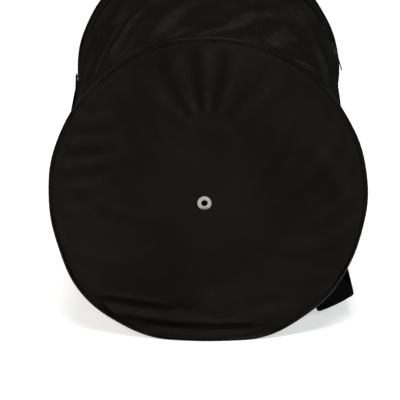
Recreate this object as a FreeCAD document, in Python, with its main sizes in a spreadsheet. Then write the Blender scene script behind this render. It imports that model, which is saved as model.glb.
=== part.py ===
import FreeCAD, Part
import math
import os

import Sketcher

# Round padded bag for a 14 inch drum, empty and lying on its side, in millimetres.
#
# X is to the right, Y runs along the bag from its bottom panel to its lid, and Z is up.
# The tube rests on the floor, Z = 0, and its underside is pressed flat there. The bottom
# panel leans back, because the empty tube sags on top, and the lid end stands upright.
# Every layer of the tube is a loft from a leaning section at the bottom panel to an
# upright one near the mouth. A section is a circle with a flat foot and two rounded corners.

V = FreeCAD.Vector
doc = FreeCAD.newDocument("drum_bag")

# ---------------------------------------------------------------- driving dimensions

DIMENSIONS = [
    ("bag_length", 385.0, "between the middles of the two piped rims"),
    ("rim_radius", 187.8, "middle of the piping, and outside of the tube behind it"),
    ("mouth_radius", 181.5, "outside of the tube and of the lid band at the zipper"),
    ("lean_angle", 12.0, "how far the bottom panel leans back, in degrees"),
    ("bottom_flat", 12.0, "how far the floor presses the bottom rim in"),
    ("lid_flat", 3.0, "how far the floor presses the lid rim in"),
    ("tube_lift", 0.3, "tube and lid band clear of the floor at the two rims"),
    ("foot_angle", 60.0, "where a section leaves its circle towards the flat foot, below X"),
    ("mouth_flat", 0.2, "how far the foot is pressed in at the zipper"),
    ("piping_radius", 2.2, "vinyl piping cord"),
    ("fabric_thickness", 1.0, "outer nylon"),
    ("tube_foam_thickness", 8.0, "padding in the tube wall"),
    ("end_foam_thickness", 6.0, "padding in the bottom panel and the lid"),
    ("lining_thickness", 0.8, "inner lining"),
    ("binding_thickness", 0.7, "tape over the inner seams"),
    ("binding_width", 10.0, "tape over the inner seams"),
    ("layer_gap", 0.3, "between layers and at seams"),
    ("lid_height", 58.0, "from the middle of the zipper to the lid rim"),
    ("zip_opening", 22.0, "between the two fabric edges beside the zipper"),
    ("tape_width", 18.0, "one side of the zipper tape"),
    ("tape_thickness", 0.8, "zipper tape"),
    ("tape_seat_gap", 0.6, "zipper tape under the outer fabric"),
    ("teeth_width", 2.6, "one row of teeth"),
    ("teeth_thickness", 2.2, "one row of teeth"),
    ("teeth_gap", 2.0, "between the two rows, where the slider's post passes"),
    ("seam_angle", 70.0, "seam of the tube and middle of the lid hinge, from +X towards +Z"),
    ("hinge_angle", 84.0, "arc of the fabric hinge, in degrees"),
    ("stop_angle", 1.0, "arc of one zipper stop, in degrees"),
    ("stop_clearance", 0.4, "arc between the fabric hinge and a zipper stop, in degrees"),
    ("slider_park", 10.0, "slider from the end of the zipper, in degrees"),
    ("slider_length", 16.0, "slider along the zipper"),
    ("slider_width", 13.0, "slider across the zipper"),
    ("slider_plate", 1.2, "thickness of the slider's two plates"),
    ("slider_clearance", 0.8, "between a slider plate and the teeth"),
    ("post_thickness", 0.8, "slider post, across the zipper"),
    ("post_length", 5.0, "slider post, along the zipper"),
    ("ear_thickness", 1.0, "slider ears that hold the puller's pin"),
    ("ear_length", 4.0, "slider ears, along the zipper"),
    ("ear_seat", 0.3, "slider ears sunk into the outer plate"),
    ("pin_height", 2.0, "puller pin above the slider's outer plate"),
    ("pin_radius", 0.95, "puller pin"),
    ("pin_clearance", 0.05, "running fit of the pin in its ears"),
    ("puller_length", 34.0, "from the pin to the free end"),
    ("puller_width", 8.0, "widest part of the puller"),
    ("puller_neck", 4.0, "puller between the ears"),
    ("puller_thickness", 1.6, "puller plate"),
    ("puller_side_gap", 0.3, "puller neck in its ears"),
    ("puller_hole_radius", 1.8, "hole near the puller's free end"),
    ("puller_hole_margin", 3.6, "middle of that hole from the free end"),
    ("strap_width", 50.0, "webbing"),
    ("strap_thickness", 2.6, "webbing"),
    ("strap_gap", 0.3, "sewn webbing above the tube"),
    ("strap_start", 3.5, "webbing behind the bottom rim"),
    ("strap_end_margin", 5.0, "webbing short of the fabric edge at the zipper"),
    ("strap_foot", 40.0, "sewn end beside the zipper"),
    ("right_angle", -42.0, "slack strap, from +X towards +Z"),
    ("right_foot", 20.0, "sewn end of the slack strap at the bottom rim"),
    ("right_bow", 38.0, "slack strap above the tube"),
    ("right_rise", 30.0, "length over which the slack strap stands up from its foot"),
    ("right_crown", 40.0, "length of the slack strap at its full height"),
    ("right_bend", 14.0, "bend radius of the slack strap"),
    ("left_angle", 180.0, "flat strap, from +X towards +Z"),
    ("left_foot", 40.0, "sewn end of the flat strap at the bottom rim"),
    ("left_bow", 4.0, "flat strap above the tube"),
    ("left_rise", 30.0, "length over which the flat strap rises"),
    ("left_crown", 128.0, "length of the flat strap at its full height"),
    ("left_bend", 60.0, "bend radius of the flat strap"),
    ("eyelet_hole_radius", 4.0, "hole through the eyelet"),
    ("eyelet_flange_radius", 8.2, "outer flange"),
    ("eyelet_flange_height", 1.5, "outer flange above the panel"),
    ("eyelet_wall", 0.6, "barrel"),
    ("eyelet_clearance", 0.2, "barrel in the holes of the three layers"),
    ("washer_thickness", 1.2, "washer on the inside"),
    ("washer_radius", 8.6, "washer on the inside"),
    ("eyelet_drop", 8.0, "eyelet below the middle of the rim, where the slack panel sags"),
    ("eyelet_side", -4.0, "eyelet to the side of the middle of the rim"),
]

sheet = doc.addObject("Spreadsheet::Sheet", "sizes")
for row, (alias, value, note) in enumerate(DIMENSIONS, start=1):
    sheet.set(f"A{row}", alias)
    sheet.set(f"B{row}", str(value))
    sheet.set(f"C{row}", note)
    sheet.setAlias(f"B{row}", alias)
doc.recompute()

# ---------------------------------------------------------------- derived expressions

# Heights and stations that several pieces share, as expressions of the sheet.
LEAN = "sizes.lean_angle * 1 deg"
NEAR_HEIGHT = f"((sizes.rim_radius - sizes.bottom_flat) * cos({LEAN}) + sizes.piping_radius)"
FAR_HEIGHT = "(sizes.rim_radius - sizes.lid_flat + sizes.piping_radius)"
NEAR_Y = f"(((sizes.rim_radius - sizes.bottom_flat) * sin({LEAN}) - sizes.bag_length) / 2)"
LID_Y = f"({NEAR_Y} + sizes.bag_length)"
ZIP_Y = f"({LID_Y} - sizes.lid_height)"
BODY_EDGE_Y = f"({ZIP_Y} - sizes.zip_opening / 2)"
LID_EDGE_Y = f"({ZIP_Y} + sizes.zip_opening / 2)"

# The flat strap stands further out than the piping, so the middle line lies a little to its right.
TUBE_LENGTH = f"sqrt(({BODY_EDGE_Y} - {NEAR_Y}) ^ 2 + ({FAR_HEIGHT} - {NEAR_HEIGHT}) ^ 2)"
LEFT_START = f"(sizes.strap_start / cos({LEAN}) + sizes.strap_width / 2 * tan({LEAN}))"
LEFT_HIGH = f"({LEFT_START} + sizes.left_foot + sizes.left_rise)"
LEFT_WALL = f"(sizes.mouth_radius - sizes.rim_radius) * {LEFT_HIGH} / {TUBE_LENGTH}"
LEFT_REACH = f"({LEFT_WALL} + sizes.strap_gap + sizes.strap_thickness + sizes.left_bow)"
AXIS_X = f"(({LEFT_REACH} - sizes.piping_radius) / 2)"

# Depths behind the middle of a rim, in the direction of the bag's inside.
WALL_START = "(sizes.piping_radius + sizes.layer_gap)"
END_FOAM_START = "(sizes.fabric_thickness / 2 + sizes.layer_gap)"
END_LINING_START = f"({END_FOAM_START} + sizes.end_foam_thickness + sizes.layer_gap)"
INSIDE_START = f"({END_LINING_START} + sizes.lining_thickness + sizes.layer_gap)"

# Depths below the outside of the wall.
OUTSIDE = "0"
FOAM_DEPTH = "(sizes.fabric_thickness + sizes.layer_gap)"
LINING_DEPTH = f"({FOAM_DEPTH} + sizes.tube_foam_thickness + sizes.layer_gap)"
INNER_DEPTH = f"({LINING_DEPTH} + sizes.lining_thickness)"

# The zipper's radii and the ends of its tape.
TAPE_OUTER = "(sizes.mouth_radius - sizes.fabric_thickness - sizes.tape_seat_gap)"
TAPE_INNER = f"({TAPE_OUTER} - sizes.tape_thickness)"
TEETH_MIDDLE = f"(({TAPE_OUTER} + {TAPE_INNER}) / 2)"
TAPE_START = "(sizes.teeth_gap / 2 + sizes.teeth_width / 2)"
TAPE_END = f"({TAPE_START} + sizes.tape_width)"
ZIP_SPAN = "(360 - sizes.hinge_angle)"
ZIP_MIDDLE = "(sizes.seam_angle + 180)"
SLIDER_ANGLE = "(sizes.seam_angle - sizes.hinge_angle / 2 - sizes.slider_park)"


def value(expression):
    """The number that an expression of the sheet gives."""
    result = sheet.evalExpression(expression)
    return float(getattr(result, "Value", result))


subparts = {}


def keep(node, thing):
    """Name a finished sub-part after its node."""
    thing.Label = node
    subparts[node] = thing
    return thing


# ---------------------------------------------------------------- sections of the bag


def origin_plane(body, role):
    """One of the body's own origin planes."""
    return next(feature for feature in body.Origin.OriginFeatures if feature.Role == role)


def section_sketch(body, name, height, station, leaning):
    """An empty sketch across the bag, centred on the tube's middle line."""
    sketch = body.newObject("Sketcher::SketchObject", name)
    sketch.AttachmentSupport = [(origin_plane(body, "XZ_Plane"), "")]
    sketch.MapMode = "FlatFace"
    turn = FreeCAD.Rotation(V(-1, 0, 0), value("sizes.lean_angle") if leaning else 0.0)
    sketch.AttachmentOffset = FreeCAD.Placement(V(0, 0, 0), turn)
    if leaning:
        sketch.setExpression("AttachmentOffset.Rotation.Angle", "sizes.lean_angle")
    sketch.setExpression("AttachmentOffset.Base.x", AXIS_X)
    sketch.setExpression("AttachmentOffset.Base.y", height)
    sketch.setExpression("AttachmentOffset.Base.z", f"-({station})")
    return sketch


def draw_flat_round(sketch, radius, drop):
    """Draw a circle with a flat foot: drop is the foot's distance below the middle."""
    big = value(radius)
    low = value(drop)
    turn = math.radians(value("sizes.foot_angle"))
    corner_radius = f"({radius} - ({radius} - {drop}) / (1 - sin(sizes.foot_angle * 1 deg)))"
    corner = value(corner_radius)
    across = (big - corner) * math.cos(turn)
    up = V(0, 0, 1)
    left = Part.Circle(V(-across, corner - low, 0), up, corner)
    right = Part.Circle(V(across, corner - low, 0), up, corner)
    sketch.addGeometry(Part.ArcOfCircle(Part.Circle(V(), up, big), -turn, math.pi + turn))
    sketch.addGeometry(Part.ArcOfCircle(left, math.pi + turn, 1.5 * math.pi))
    sketch.addGeometry(Part.LineSegment(V(-across, -low, 0), V(across, -low, 0)))
    sketch.addGeometry(Part.ArcOfCircle(right, -0.5 * math.pi, -turn))
    sketch.addConstraint(Sketcher.Constraint("Coincident", 0, 3, -1, 1))
    for first, second in ((0, 1), (1, 2), (2, 3), (3, 0)):
        sketch.addConstraint(Sketcher.Constraint("Tangent", first, 2, second, 1))
    sketch.addConstraint(Sketcher.Constraint("Equal", 1, 3))
    sketch.addConstraint(Sketcher.Constraint("Horizontal", 2))
    sizes = (
        (Sketcher.Constraint("Radius", 0, big), radius),
        (Sketcher.Constraint("Radius", 1, corner), corner_radius),
        (Sketcher.Constraint("DistanceY", 2, 1, -1, 1, low), drop),
    )
    for constraint, expression in sizes:
        index = sketch.addConstraint(constraint)
        sketch.setExpression(f"Constraints[{index}]", expression)


class Wall:
    """The middle line and outside of a tube, from which its layers are offset."""

    def __init__(self, heights, stations, radii, drops, near_leans):
        self.heights = heights
        self.stations = stations
        self.radii = radii
        self.drops = drops
        self.near_leans = near_leans

    def share(self, station):
        """How far along the wall a station lies, from 0 to 1."""
        start, end = self.stations
        return f"((({station}) - {start}) / ({end} - {start}))"

    def at(self, pair, station):
        """A size at a station, between its two end values."""
        return f"({pair[0]} + ({pair[1]} - {pair[0]}) * {self.share(station)})"

    def section(self, body, name, station, depth, leaning):
        """A sketch of the wall's outline at a station, offset inwards by depth."""
        sketch = section_sketch(body, name, self.at(self.heights, station), station, leaning)
        radius = f"({self.at(self.radii, station)} - {depth})"
        draw_flat_round(sketch, radius, f"({self.at(self.drops, station)} - {depth})")
        return sketch

    def layer(self, node, start, end, outer_depth, inner_depth):
        """A layer of the wall: a loft between two stations, hollowed by another."""
        body = doc.addObject("PartDesign::Body", node + "_body")
        for kind, depth in (("AdditiveLoft", outer_depth), ("SubtractiveLoft", inner_depth)):
            first = self.section(body, f"{node}_{kind}_start", start, depth, self.near_leans)
            last = self.section(body, f"{node}_{kind}_end", end, depth, False)
            loft = body.newObject(f"PartDesign::{kind}", f"{node}_{kind}")
            loft.Profile = first
            loft.Sections = [last]
            loft.Ruled = True
        return keep(node, body)


# The foot of the tube and of the lid band lies just above the floor, beside the piping.
NEAR_DROP = f"(({NEAR_HEIGHT} - sizes.tube_lift) / cos({LEAN}) - sizes.layer_gap)"
LID_DROP = f"({FAR_HEIGHT} - sizes.tube_lift)"
MOUTH_DROP = "(sizes.mouth_radius - sizes.mouth_flat)"
NEAR_SHIFT = f"{NEAR_Y} + 1 / cos({LEAN}) * "

tube = Wall(
    (NEAR_HEIGHT, FAR_HEIGHT),
    (f"({NEAR_SHIFT}{WALL_START})", BODY_EDGE_Y),
    ("sizes.rim_radius", "sizes.mouth_radius"),
    (NEAR_DROP, MOUTH_DROP),
    True,
)
lid_wall = Wall(
    (FAR_HEIGHT, FAR_HEIGHT),
    (LID_EDGE_Y, f"({LID_Y} - {WALL_START})"),
    ("sizes.mouth_radius", "sizes.rim_radius"),
    (MOUTH_DROP, LID_DROP),
    False,
)

PADDING_START = f"({NEAR_SHIFT}{INSIDE_START})"
PADDING_END = f"({ZIP_Y} - {TAPE_END} - sizes.layer_gap)"
BINDING_END = f"({PADDING_START} + sizes.binding_width)"
LID_LINING_START = f"({ZIP_Y} + {TAPE_END} + sizes.layer_gap)"
LID_LINING_END = f"({LID_Y} - {INSIDE_START})"
LID_BINDING_START = f"({LID_LINING_END} - sizes.binding_width)"
LID_LINING_DEPTH = f"({FOAM_DEPTH} + sizes.lining_thickness)"

# ---------------------------------------------------------------- tube layers

tube.layer("shell", tube.stations[0], tube.stations[1], OUTSIDE, "sizes.fabric_thickness")
tube.layer("shell_foam", PADDING_START, PADDING_END, FOAM_DEPTH,
           f"({FOAM_DEPTH} + sizes.tube_foam_thickness)")
tube.layer("shell_lining", PADDING_START, PADDING_END, LINING_DEPTH, INNER_DEPTH)
lid_wall.layer("lid_band", lid_wall.stations[0], lid_wall.stations[1], OUTSIDE,
               "sizes.fabric_thickness")
lid_wall.layer("lid_band_lining", LID_LINING_START, LID_LINING_END, FOAM_DEPTH, LID_LINING_DEPTH)


def binding(node, wall, start, end, depth):
    """Tape over an inner seam: a short band inside the lining."""
    outer = f"({depth} + sizes.layer_gap)"
    body = wall.layer(node, start, end, outer, f"({outer} + sizes.binding_thickness)")
    if wall.near_leans:
        far = next(thing for thing in body.Group if thing.Name.endswith("AdditiveLoft_end"))
        near = next(thing for thing in body.Group if thing.Name.endswith("SubtractiveLoft_end"))
        for sketch in (far, near):
            turn = FreeCAD.Rotation(V(-1, 0, 0), value("sizes.lean_angle"))
            sketch.AttachmentOffset = FreeCAD.Placement(V(0, 0, 0), turn)
            sketch.setExpression("AttachmentOffset.Rotation.Angle", "sizes.lean_angle")
    return body


binding("bottom_binding", tube, PADDING_START, BINDING_END, INNER_DEPTH)
binding("lid_binding", lid_wall, LID_BINDING_START, LID_LINING_END, LID_LINING_DEPTH)

# ---------------------------------------------------------------- end panels and piping


class End:
    """One end of the bag: where its rim is, and which way is in."""

    def __init__(self, prefix, height, station, flat, leaning, inward):
        self.prefix = prefix
        self.height = height
        self.station = station
        self.flat = flat
        self.leaning = leaning
        self.inward = inward

    def behind(self, depth):
        """The station that lies a depth behind the rim."""
        if self.leaning:
            return f"({self.station} + {self.inward} * {depth} / cos({LEAN}))"
        return f"({self.station} + {self.inward} * {depth})"

    def disc(self, node, start, thickness, inset, hole=None):
        """A flat layer with the rim's outline, from a depth inwards."""
        body = doc.addObject("PartDesign::Body", node + "_body")
        sketch = section_sketch(body, node + "_outline", self.height, self.behind(start), self.leaning)
        radius = f"(sizes.rim_radius - {inset})"
        draw_flat_round(sketch, radius, f"({radius} - {self.flat})")
        pad = body.newObject("PartDesign::Pad", node + "_pad")
        pad.Profile = sketch
        pad.setExpression("Length", thickness)
        pad.Reversed = self.inward > 0
        if hole:
            doc.recompute()
            self.pierce(body, node, start, hole)
        return keep(node, body)

    def pierce(self, body, node, start, radius):
        """Cut the eyelet's hole through a layer."""
        sketch = section_sketch(body, node + "_hole", self.height, self.behind(start), self.leaning)
        drop = f"(sizes.eyelet_drop + {start} * tan({LEAN}))"
        spot = V(value("sizes.eyelet_side"), -value(drop), 0)
        sketch.addGeometry(Part.Circle(spot, V(0, 0, 1), value(radius)))
        sizes = (
            (Sketcher.Constraint("Radius", 0, value(radius)), radius),
            (Sketcher.Constraint("DistanceX", -1, 1, 0, 3, spot.x), "sizes.eyelet_side"),
            (Sketcher.Constraint("DistanceY", 0, 3, -1, 1, -spot.y), drop),
        )
        for constraint, expression in sizes:
            index = sketch.addConstraint(constraint)
            sketch.setExpression(f"Constraints[{index}]", expression)
        pocket = body.newObject("PartDesign::Pocket", node + "_pocket")
        pocket.Profile = sketch
        pocket.Type = 1
        pocket.Midplane = True

    def piping(self, node):
        """The vinyl cord round the rim, pressed flat where it meets the floor."""
        body = doc.addObject("PartDesign::Body", node + "_body")
        path = section_sketch(body, node + "_path", self.height, self.station, self.leaning)
        draw_flat_round(path, "sizes.rim_radius", f"(sizes.rim_radius - {self.flat})")
        cord = body.newObject("Sketcher::SketchObject", node + "_section")
        cord.AttachmentSupport = [(origin_plane(body, "XY_Plane"), "")]
        cord.MapMode = "FlatFace"
        turn = value("sizes.lean_angle") if self.leaning else 0.0
        cord.AttachmentOffset = FreeCAD.Placement(V(0, 0, 0), FreeCAD.Rotation(V(-1, 0, 0), turn))
        if self.leaning:
            cord.setExpression("AttachmentOffset.Rotation.Angle", "sizes.lean_angle")
        cord.setExpression("AttachmentOffset.Base.x", f"{AXIS_X} + sizes.rim_radius")
        cord.setExpression("AttachmentOffset.Base.y", self.station)
        cord.setExpression("AttachmentOffset.Base.z", self.height)
        cord.addGeometry(Part.Circle(V(), V(0, 0, 1), value("sizes.piping_radius")))
        cord.addConstraint(Sketcher.Constraint("Coincident", 0, 3, -1, 1))
        index = cord.addConstraint(Sketcher.Constraint("Radius", 0, value("sizes.piping_radius")))
        cord.setExpression(f"Constraints[{index}]", "sizes.piping_radius")
        pipe = body.newObject("PartDesign::AdditivePipe", node + "_sweep")
        pipe.Profile = cord
        pipe.Spine = (path, [])
        return keep(node, body)


bottom = End("bottom", NEAR_HEIGHT, NEAR_Y, "sizes.bottom_flat", True, 1)
lid = End("lid", FAR_HEIGHT, LID_Y, "sizes.lid_flat", False, -1)

BARREL_RADIUS = "(sizes.eyelet_hole_radius + sizes.eyelet_wall)"
EYELET_BORE = f"({BARREL_RADIUS} + sizes.eyelet_clearance)"
PANEL_INSET = "(sizes.piping_radius + sizes.layer_gap)"

for end, bore in ((bottom, EYELET_BORE), (lid, None)):
    end.disc(end.prefix + "_panel", "-sizes.fabric_thickness / 2", "sizes.fabric_thickness",
             PANEL_INSET, bore)
    end.disc(end.prefix + "_foam", END_FOAM_START, "sizes.end_foam_thickness", PANEL_INSET, bore)
    end.disc(end.prefix + "_lining", END_LINING_START, "sizes.lining_thickness", PANEL_INSET, bore)
    end.piping(end.prefix + "_piping")

# ---------------------------------------------------------------- turned and curved pieces


def rectangle(body, name, left, right, low, high):
    """A rectangle on the body's XY plane, with its four sides bound to expressions."""
    sketch = body.newObject("Sketcher::SketchObject", name)
    sketch.AttachmentSupport = [(origin_plane(body, "XY_Plane"), "")]
    sketch.MapMode = "FlatFace"
    corners = [V(value(left), value(low)), V(value(right), value(low)),
               V(value(right), value(high)), V(value(left), value(high))]
    for index, corner in enumerate(corners):
        sketch.addGeometry(Part.LineSegment(corner, corners[(index + 1) % 4]))
    for index in range(4):
        sketch.addConstraint(Sketcher.Constraint("Coincident", index, 2, (index + 1) % 4, 1))
    for index in (0, 2):
        sketch.addConstraint(Sketcher.Constraint("Horizontal", index))
    for index in (1, 3):
        sketch.addConstraint(Sketcher.Constraint("Vertical", index))
    places = (("DistanceX", 0, 1, left), ("DistanceX", 0, 2, right),
              ("DistanceY", 0, 1, low), ("DistanceY", 2, 1, high))
    for kind, line, point, expression in places:
        index = sketch.addConstraint(Sketcher.Constraint(kind, -1, 1, line, point, value(expression)))
        sketch.setExpression(f"Constraints[{index}]", expression)
    return sketch


def place_on_mouth(thing, angle, station):
    """Turn a piece about the mouth's axis, so that its own X points at an angle."""
    thing.Placement = FreeCAD.Placement(V(), FreeCAD.Rotation(V(0, -1, 0), value(angle)))
    thing.setExpression("Placement.Base.x", AXIS_X)
    thing.setExpression("Placement.Base.y", station)
    thing.setExpression("Placement.Base.z", FAR_HEIGHT)
    thing.setExpression("Placement.Rotation.Angle", angle)


def ring_sector(node, inner, outer, low, high, span, middle):
    """Part of a ring about the mouth's axis: low and high are measured from the zipper."""
    body = doc.addObject("PartDesign::Body", node + "_body")
    sketch = rectangle(body, node + "_section", inner, outer, low, high)
    turn = body.newObject("PartDesign::Revolution", node + "_turn")
    turn.Profile = sketch
    turn.ReferenceAxis = (sketch, ["V_Axis"])
    turn.Midplane = True
    turn.setExpression("Angle", span)
    place_on_mouth(body, middle, ZIP_Y)
    return body


TEETH_INNER = f"({TEETH_MIDDLE} - sizes.teeth_thickness / 2)"
TEETH_OUTER = f"({TEETH_MIDDLE} + sizes.teeth_thickness / 2)"
TEETH_NEAR = "(sizes.teeth_gap / 2)"
TEETH_FAR = f"({TEETH_NEAR} + sizes.teeth_width)"
TAPE_NEAR = f"({TEETH_FAR} + sizes.layer_gap)"

keep("zip_teeth_body", ring_sector("zip_teeth_body", TEETH_INNER, TEETH_OUTER,
                                   f"-{TEETH_FAR}", f"-{TEETH_NEAR}", ZIP_SPAN, ZIP_MIDDLE))
keep("zip_teeth_lid", ring_sector("zip_teeth_lid", TEETH_INNER, TEETH_OUTER,
                                  TEETH_NEAR, TEETH_FAR, ZIP_SPAN, ZIP_MIDDLE))
keep("zip_tape_body", ring_sector("zip_tape_body", TAPE_INNER, TAPE_OUTER,
                                  f"-{TAPE_END}", f"-{TAPE_NEAR}", ZIP_SPAN, ZIP_MIDDLE))
keep("zip_tape_lid", ring_sector("zip_tape_lid", TAPE_INNER, TAPE_OUTER,
                                 TAPE_NEAR, TAPE_END, ZIP_SPAN, ZIP_MIDDLE))

STRIP_HALF = "(sizes.zip_opening / 2 - sizes.layer_gap)"
STRIP_SPAN = "(sizes.hinge_angle - 2 * (sizes.stop_angle + sizes.stop_clearance))"
keep("hinge_strip", ring_sector("hinge_strip", "(sizes.mouth_radius - sizes.fabric_thickness)",
                                "sizes.mouth_radius", f"-{STRIP_HALF}", STRIP_HALF,
                                STRIP_SPAN, "sizes.seam_angle"))

# The two stops close the ends of the row of teeth on the tube, beside the hinge.
stops = []
for side in (-1, 1):
    middle = (f"(sizes.seam_angle + ({side}) * (sizes.hinge_angle - sizes.stop_angle"
              " - sizes.stop_clearance) / 2)")
    stops.append(ring_sector(f"zip_stop_{'right' if side < 0 else 'left'}", TEETH_INNER, TEETH_OUTER,
                             f"-{TEETH_FAR}", f"-{TEETH_NEAR}", "sizes.stop_angle", middle))
both_stops = doc.addObject("Part::Compound", "zip_stops_compound")
both_stops.Links = stops
keep("zip_stops", both_stops)


def place_on_panel(body):
    """Stand a turned piece on the bottom panel, with its own Y pointing into the bag."""
    lean = value("sizes.lean_angle")
    body.Placement = FreeCAD.Placement(V(), FreeCAD.Rotation(V(-1, 0, 0), lean))
    body.setExpression("Placement.Rotation.Angle", "sizes.lean_angle")
    body.setExpression("Placement.Base.x", f"{AXIS_X} + sizes.eyelet_side")
    body.setExpression("Placement.Base.y", f"{NEAR_Y} - sizes.eyelet_drop * sin({LEAN})")
    body.setExpression("Placement.Base.z", f"{NEAR_HEIGHT} - sizes.eyelet_drop * cos({LEAN})")


def turned_ring(node, rings):
    """A turned piece on the panel, from rectangles in radius and depth."""
    body = doc.addObject("PartDesign::Body", node + "_body")
    for number, (inner, outer, low, high) in enumerate(rings):
        sketch = rectangle(body, f"{node}_section_{number}", inner, outer, low, high)
        turn = body.newObject("PartDesign::Revolution", f"{node}_turn_{number}")
        turn.Profile = sketch
        turn.ReferenceAxis = (sketch, ["V_Axis"])
        turn.Angle = 360.0
    place_on_panel(body)
    return keep(node, body)


FLANGE_BACK = "(-sizes.fabric_thickness / 2)"
FLANGE_FRONT = f"({FLANGE_BACK} - sizes.eyelet_flange_height)"
WASHER_BACK = f"({INSIDE_START} - sizes.layer_gap)"
WASHER_FRONT = f"({WASHER_BACK} + sizes.washer_thickness)"
turned_ring("eyelet", [
    ("sizes.eyelet_hole_radius", "sizes.eyelet_flange_radius", FLANGE_FRONT, FLANGE_BACK),
    ("sizes.eyelet_hole_radius", BARREL_RADIUS, FLANGE_BACK, WASHER_FRONT),
])
turned_ring("eyelet_washer", [
    (EYELET_BORE, "sizes.washer_radius", WASHER_BACK, WASHER_FRONT),
])

# ---------------------------------------------------------------- zipper slider and puller


def box(name, x_size, y_size, z_size, middle_x, middle_y="0", middle_z="0"):
    """A box centred on a point of the slider's frame: X out, Y across, Z along the zipper."""
    block = doc.addObject("Part::Box", name)
    block.setExpression("Length", x_size)
    block.setExpression("Width", y_size)
    block.setExpression("Height", z_size)
    block.setExpression("Placement.Base.x", f"({middle_x}) - ({x_size}) / 2")
    block.setExpression("Placement.Base.y", f"({middle_y}) - ({y_size}) / 2")
    block.setExpression("Placement.Base.z", f"({middle_z}) - ({z_size}) / 2")
    return block


def cross_pin(name, radius, length, out, along="0"):
    """A cylinder across the zipper, at a distance out from the mouth's axis."""
    pin = doc.addObject("Part::Cylinder", name)
    pin.Placement = FreeCAD.Placement(V(), FreeCAD.Rotation(V(-1, 0, 0), 90))
    pin.setExpression("Radius", radius)
    pin.setExpression("Height", length)
    pin.setExpression("Placement.Base.x", out)
    pin.setExpression("Placement.Base.y", f"-({length}) / 2")
    pin.setExpression("Placement.Base.z", along)
    return pin


def fuse(name, things):
    """Join several solids."""
    joined = doc.addObject("Part::MultiFuse", name)
    joined.Shapes = things
    return joined


def cut(name, base, tool):
    """Take one solid out of another."""
    rest = doc.addObject("Part::Cut", name)
    rest.Base = base
    rest.Tool = tool
    return rest


PLATE_OFFSET = "(sizes.teeth_thickness / 2 + sizes.slider_clearance + sizes.slider_plate / 2)"
PLATE_TOP = f"({TEETH_MIDDLE} + {PLATE_OFFSET} + sizes.slider_plate / 2)"
PIN_OUT = f"({PLATE_TOP} + sizes.pin_height)"
EAR_HEIGHT = "(sizes.pin_height + 2 * sizes.pin_radius)"
EAR_OFFSET = "(sizes.puller_neck / 2 + sizes.puller_side_gap + sizes.ear_thickness / 2)"

outer_plate = box("slider_outer_plate", "sizes.slider_plate", "sizes.slider_width", "sizes.slider_length",
                  f"{TEETH_MIDDLE} + {PLATE_OFFSET}")
inner_plate = box("slider_inner_plate", "sizes.slider_plate", "sizes.slider_width", "sizes.slider_length",
                  f"{TEETH_MIDDLE} - {PLATE_OFFSET}")
post = box("slider_post", f"2 * {PLATE_OFFSET}", "sizes.post_thickness", "sizes.post_length", TEETH_MIDDLE)
ears = [box(f"slider_ear_{name}", EAR_HEIGHT, "sizes.ear_thickness", "sizes.ear_length",
            f"{PLATE_TOP} + {EAR_HEIGHT} / 2 - sizes.ear_seat", f"{sign} * {EAR_OFFSET}")
        for name, sign in (("near", -1), ("far", 1))]
slider_blank = fuse("slider_blank", [outer_plate, inner_plate, post] + ears)
slider_bore = cross_pin("slider_bore", "sizes.pin_radius + sizes.pin_clearance", "sizes.slider_width",
                        PIN_OUT)
slider = cut("slider_cut", slider_blank, slider_bore)
place_on_mouth(slider, SLIDER_ANGLE, ZIP_Y)
keep("slider", slider)

PULLER_PIN = f"(2 * {EAR_OFFSET} + sizes.ear_thickness)"
NECK_LENGTH = "(sizes.puller_length / 3)"
TAIL_LENGTH = "(sizes.puller_length * 2 / 3)"
PULLER_CUT = "(2 * sizes.puller_width)"
neck = box("puller_neck_plate", "sizes.puller_thickness", "sizes.puller_neck",
           f"{NECK_LENGTH} + sizes.pin_radius", PIN_OUT, "0",
           f"(sizes.pin_radius - {NECK_LENGTH}) / 2")
tail = box("puller_tail", "sizes.puller_thickness", "sizes.puller_width", TAIL_LENGTH, PIN_OUT, "0",
           f"-{NECK_LENGTH} - {TAIL_LENGTH} / 2")
pin = cross_pin("puller_pin", "sizes.pin_radius", PULLER_PIN, PIN_OUT)
puller_blank = fuse("puller_blank", [neck, tail, pin])
puller_hole = doc.addObject("Part::Cylinder", "puller_hole")
puller_hole.Placement = FreeCAD.Placement(V(), FreeCAD.Rotation(V(0, 1, 0), 90))
puller_hole.setExpression("Radius", "sizes.puller_hole_radius")
puller_hole.setExpression("Height", PULLER_CUT)
puller_hole.setExpression("Placement.Base.x", f"{PIN_OUT} - {PULLER_CUT} / 2")
puller_hole.setExpression("Placement.Base.z", "sizes.puller_hole_margin - sizes.puller_length")
puller = cut("puller_cut", puller_blank, puller_hole)
place_on_mouth(puller, SLIDER_ANGLE, ZIP_Y)
keep("puller", puller)

# ---------------------------------------------------------------- webbing straps


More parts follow.
